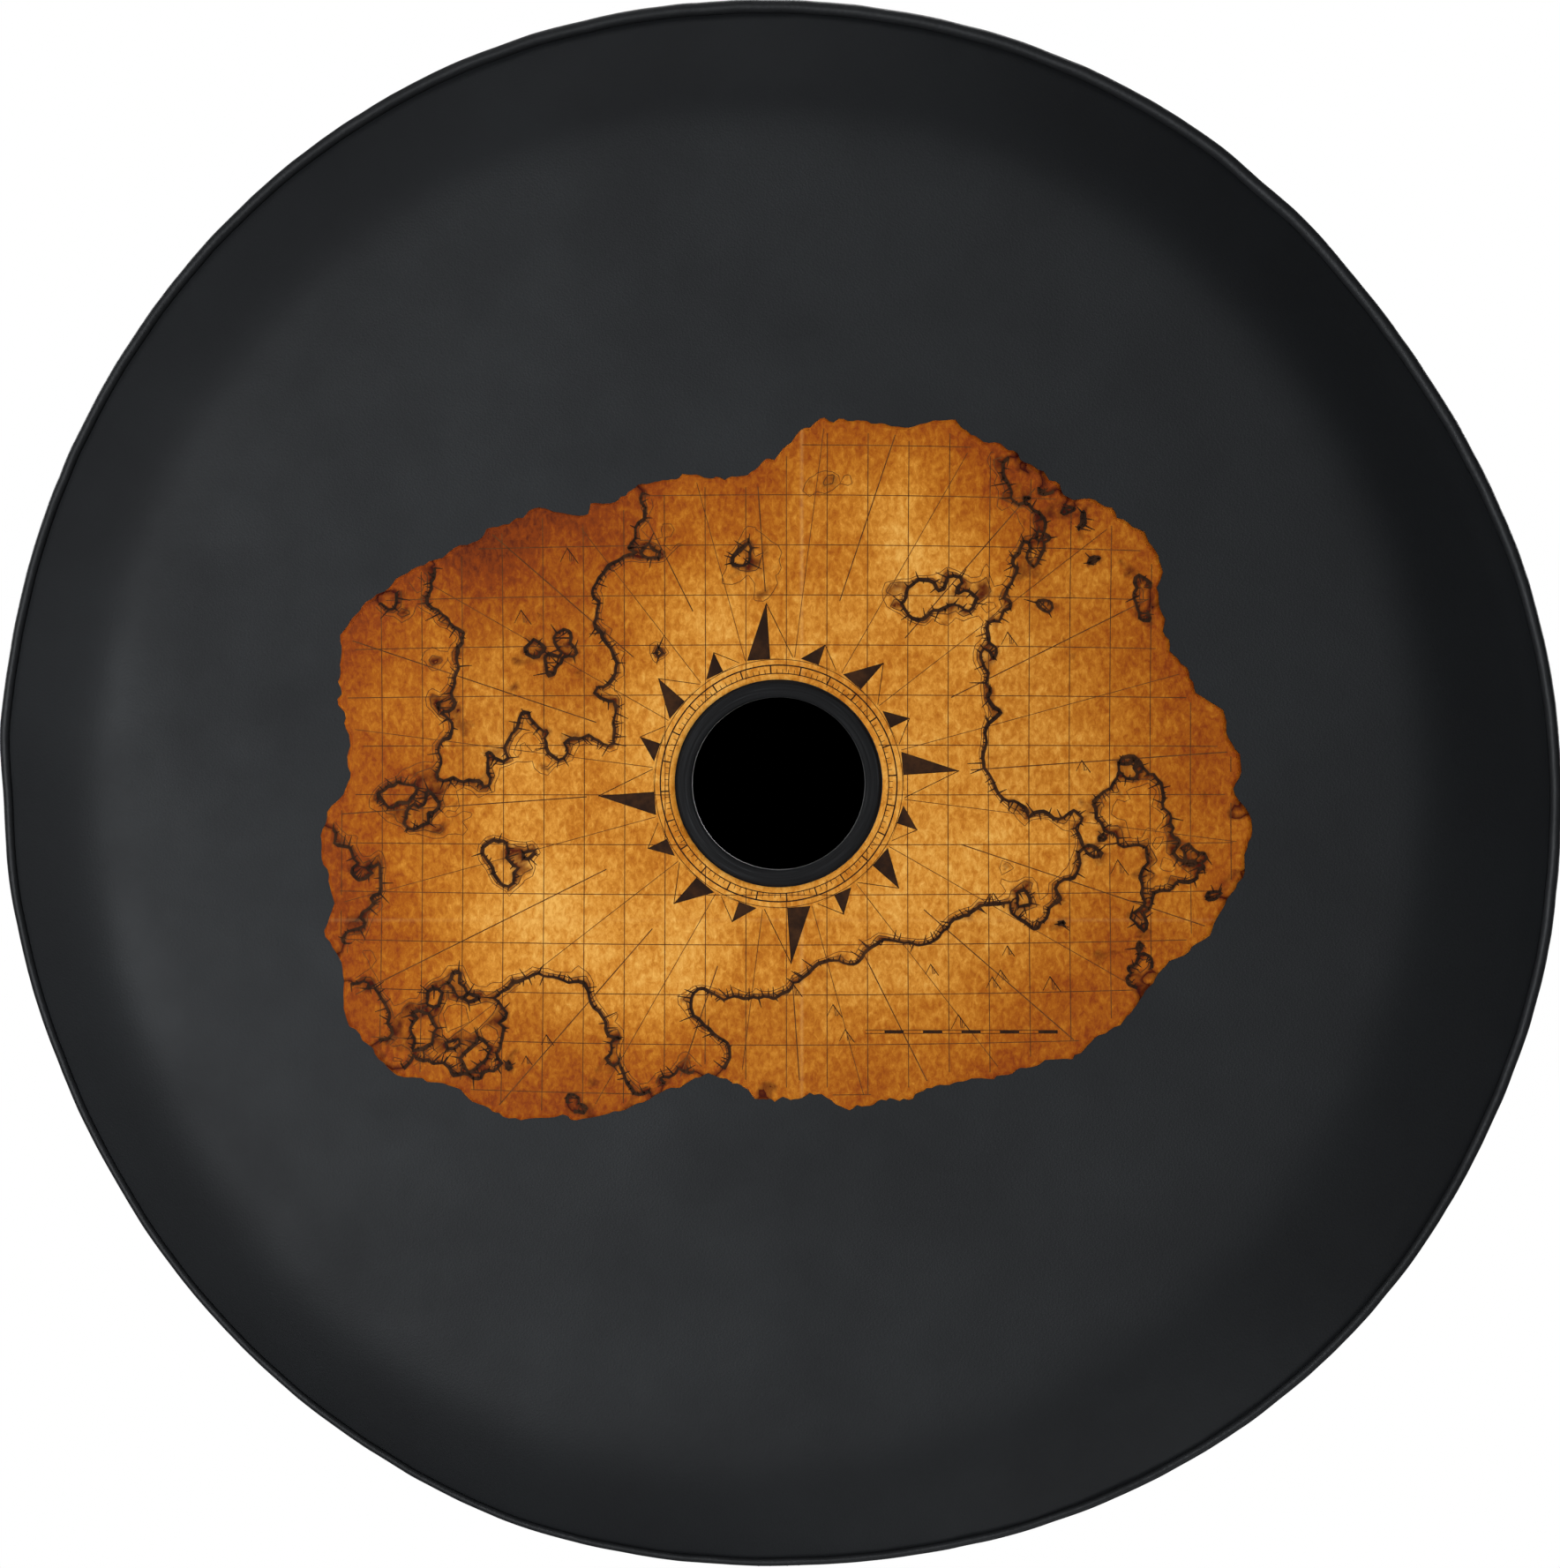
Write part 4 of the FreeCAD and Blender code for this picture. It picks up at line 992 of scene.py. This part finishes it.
dice = random.Random(7)
coasts, fine = InkLines(printSizes["coastLift"]), InkLines(printSizes["fineLift"])
coastChains = shoreRuns(0.0)
for run in coastChains:
    coasts.stroke(run, [0.0017 + 0.001 * lumps(x / 0.009, z / 0.009, 2.0) for x, z in run])
for level, width in ((-0.07, 0.0005), (-0.14, 0.00035)):
    for run in shoreRuns(level, step=0.004):
        fine.stroke(run, width)
# short strokes that leave the shores, most of them seaward
for run in coastChains:
    for x, z in run:
        slope = Vector((
            landHeight(x + 0.001, z) - landHeight(x - 0.001, z),
            landHeight(x, z + 0.001) - landHeight(x, z - 0.001),
        ))
        if not slope.length:
            continue
        sea = -slope.normalized() * (1 if dice.random() < 0.8 else -1)
        sea.x += dice.uniform(-0.5, 0.5)
        length = 0.0015 + 0.005 * dice.random() ** 2
        tip = (x + sea.x * length, z + sea.y * length)
        if insideSheet(*tip):
            coasts.stroke([(x, z), tip], [0.001, 0.0003])
# ridges and peaks, where a throw falls on high land
for _ in range(60):
    x, z = dice.uniform(-0.24, 0.24), dice.uniform(-0.17, 0.17)
    if landHeight(x, z) < 0.13 or not insideSheet(x, z, 0.012) or math.hypot(x, z) < 0.11:
        continue
    size = dice.uniform(0.004, 0.0075)
    ridge = [(x - size * 0.6, z), (x - size * 0.1, z + size), (x + size * 0.7, z - size * 0.1)]
    coasts.stroke(ridge, [0.0003, 0.0009, 0.0004])
    for n in range(3):
        upper = (x + size * (0.05 + 0.16 * n), z + size * (0.75 - 0.25 * n))
        fine.stroke([upper, (x + size * (0.1 + 0.1 * n), z + size * 0.05)], 0.00035)
# the chart's net of lines
net = dict(across=0.021, up=0.026, width=0.00042, bow=0.35, startX=0.004, startZ=-0.006)
for n in range(-13, 14):
    x0 = n * net["across"] + net["startX"]
    strokeClipped([(x0 + net["bow"] * x0 * z * z, z) for z in spread(-0.19, 0.19, 0.004)], net["width"])
for n in range(-8, 9):
    z0 = n * net["up"] + net["startZ"]
    strokeClipped([(x, z0 - net["bow"] * z0 * x * x * 2) for x in spread(-0.256, 0.256, 0.004)], net["width"])
# compass rose: its courses, its graduated ring and its sixteen points; every second course is a main one
rose = dict(
    turned=4, inner=0.0572, minor=0.0594, outer=0.0615, last=0.0645, base=0.0648, foot=0.0658,
    points=(0.094, 0.076, 0.083, 0.076), courses=((0.1, 0.00055), (0.066, 0.00034)), courseEnd=0.27,
)
for n in range(32):
    a = math.radians(11.25 * n + rose["turned"])
    start, width = rose["courses"][n % 2]
    strokeClipped([onCircle(r, a) for r in spread(start, rose["courseEnd"], 0.006)], width)
for r, width in ((rose["inner"], 0.0005), (rose["outer"], 0.0007), (rose["last"], 0.0003)):
    coasts.stroke([onCircle(r, a) for a in turns(180, ends=True)], width)
for n in range(120):
    a = math.radians(3 * n + rose["turned"])
    reach, width = (rose["minor"], 0.0003) if n % 5 else (rose["outer"], 0.0007)
    coasts.stroke([onCircle(rose["inner"], a), onCircle(reach, a)], width)
for n in range(16):
    a = math.radians(22.5 * n + rose["turned"])
    wing = math.radians(8.5 if n % 2 else 10.5)
    tip, root = onCircle(rose["points"][n % 4], a), onCircle(rose["base"], a)
    coasts.area([tip, onCircle(rose["foot"], a + wing), root])
    coasts.stroke([tip, onCircle(rose["foot"], a - wing), root, tip], 0.0004)
# distance rule in the lower sea, its parts open and filled in turn
rule = dict(left=0.045, low=-0.13, part=0.01, high=0.0018, line=0.0003)
for n in range(10):
    x0, z0 = rule["left"] + n * rule["part"], rule["low"]
    x1, z1 = x0 + rule["part"], z0 + rule["high"]
    if n % 2:
        coasts.area([(x0, z0), (x1, z0), (x1, z1), (x0, z1)])
    else:
        coasts.stroke([(x0, z0), (x1, z0)], rule["line"])
        coasts.stroke([(x0, z1), (x1, z1)], rule["line"])
coastPiece = coasts.piece("chartCoasts", coastInk)
finePiece = fine.piece("chartLines", fineInk)
print("print made")

# CAD nodes that keep their shape get their finish
for node, material in (
    ("hole_doubler", bindingVinyl), ("drain_eyelets", brass), ("drain_washers", brass),
    ("buckle_socket", acetal), ("buckle_insert", acetal), ("buckle_prong_upper", acetal),
    ("buckle_prong_lower", acetal), ("strap_keeper", acetal),
):
    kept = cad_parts[node]
    if not kept.material_slots:
        kept.data.materials.append(material)
    for holder in kept.material_slots:
        holder.material = material

# each piece rides on the cover and hides the CAD node that it stands for; the pieces are listed by slot name
standsFor = (
    ("vinyl", [(facePiece, "face_panel"), (bandPieces[0], "band_left"), (bandPieces[1], "band_right")]),
    ("binding_vinyl", [
        (pipingPiece, "edge_piping"), (flangePiece, None), (hemPiece, "hem_channel"),
        (stripPieces[0], "band_joint_top"), (stripPieces[1], "band_joint_bottom"),
        (patchPieces[0], "strap_patch_left"), (patchPieces[1], "strap_patch_right"),
    ]),
    ("elastic", [(elasticPiece, "hem_elastic")]),
    ("thread", [
        (faceStitches, "face_seam_thread"), (hemStitches, "hem_thread"), (stripStitchPiece, None),
        (patchStitches, None), (boxStitches, "strap_threads"),
    ]),
    ("gasket_rubber", [(gasketPiece, "camera_gasket")]),
    ("webbing", [(strapShort, "strap_short"), (strapLong, "strap_long")]),
    ("print_ink", [(printPiece, "print_film"), (coastPiece, None), (finePiece, None)]),
)
for slotName, members in standsFor:
    for piece, node in members:
        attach(piece, "cover")
        if node:
            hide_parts(node)
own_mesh(strapLong)

print("pieces placed")

# floor, world and lamps
stageSizes = dict(
    floorDrop=-0.92, floorHalf=3.0, floorGlow=0.84, worldGlow=0.07, shadeSpotAngle=1.15, shadeSpotEdge=0.00002,
)
h, z = stageSizes["floorHalf"], stageSizes["floorDrop"]
floorMesh = newMesh("floor", [(-h, -h, z), (h, -h, z), (h, h, z), (-h, h, z)], [(0, 1, 2, 3)])
floorFinish = {"Roughness": 0.9, "Emission Color": (1, 1, 1, 1)}
floorMaterial, floorTree, floorShader, _, _ = newMaterial("whiteFloor", floorFinish)
# pale to the camera, but dim to the cover, so that its underside isn't lit from below
floorSight = addNode(floorTree, "LightPath")
floorSeen = floorSight.outputs["Is Camera Ray"]
floorColour = addNode(
    floorTree, "Mix", {"data_type": "RGBA", 0: floorSeen, 6: (0.12, 0.12, 0.12, 1), 7: (0.5, 0.5, 0.5, 1)},
)
wire(floorTree, floorColour.outputs[2], floorShader.inputs["Base Color"])
floorGlow = addNode(floorTree, "Math", {"operation": "MULTIPLY", 0: floorSeen, 1: stageSizes["floorGlow"]})
wire(floorTree, floorGlow, floorShader.inputs["Emission Strength"])
floorPiece = addObject("floor", floorMesh, floorMaterial)
floorPiece.visible_shadow = False  # the low lamp shines up through it

world = bpy.data.worlds.new("studio")
bpy.context.scene.world = world
world.use_nodes = True
sky = world.node_tree
sky.nodes.clear()
looking = addNode(sky, "LightPath")
heading = addNode(sky, "TexCoord")
# painted shade: for camera rays the backdrop straight behind the open camera hole is dark, standing in for the
# shaded wheel behind it
ahead = addNode(
    sky, "VectorMath", {"operation": "DOT_PRODUCT", 0: heading.outputs["Generated"], 1: (0.0, 1.0, 0.0)},
)
rim, edge = math.cos(math.radians(stageSizes["shadeSpotAngle"])), stageSizes["shadeSpotEdge"]
# painted shade mask: 0 inside the small cone round +Y, 1 outside it
dark = addNode(sky, "MapRange", {0: ahead.outputs["Value"], 1: rim - edge, 2: rim + edge, 3: 1.0, 4: 0.0})
through = looking.outputs["Is Transmission Ray"]
seen = addNode(sky, "Math", {"operation": "MAXIMUM", 0: looking.outputs["Is Camera Ray"], 1: through})
strength = addNode(sky, "Mix", {"data_type": "FLOAT", 0: seen, 2: stageSizes["worldGlow"], 3: dark})
glow = addNode(sky, "Background", {"Color": (1.0, 1.0, 1.0, 1.0), "Strength": strength})
addNode(sky, "OutputWorld", {0: glow})

lamps = [
    # name, place, size, watts
    ("key", (-1.1, -2.8, -0.2), 1.3, 78),
    ("slopeTop", (-0.3, -1.0, 2.6), 1.2, 12),
    ("slopeLow", (1.1, -1.0, -2.4), 1.2, 17),
    ("slopeLeft", (-2.5, -1.0, 1.0), 1.2, 7),
    ("leftRear", (-2.5, 2.3, 0.9), 1.6, 95),
    ("rightRear", (2.5, 2.3, 0.6), 1.6, 82),
    ("rear", (0.8, 3.2, 0.5), 1.6, 55),
    ("top", (0.2, 1.7, 2.7), 1.6, 62),
]
for name, place, size, power in lamps:
    data = bpy.data.lights.new(name, "AREA")
    data.shape = "DISK"
    data.size = size
    data.energy = power
    lamp = bpy.data.objects.new(name, data)
    lamp.location = place
    lamp.rotation_mode = "QUATERNION"
    lamp.rotation_quaternion = (-Vector(place)).to_track_quat("-Z", "Y")
    lamp.visible_camera = False
    bpy.context.scene.collection.objects.link(lamp)
print("stage set")
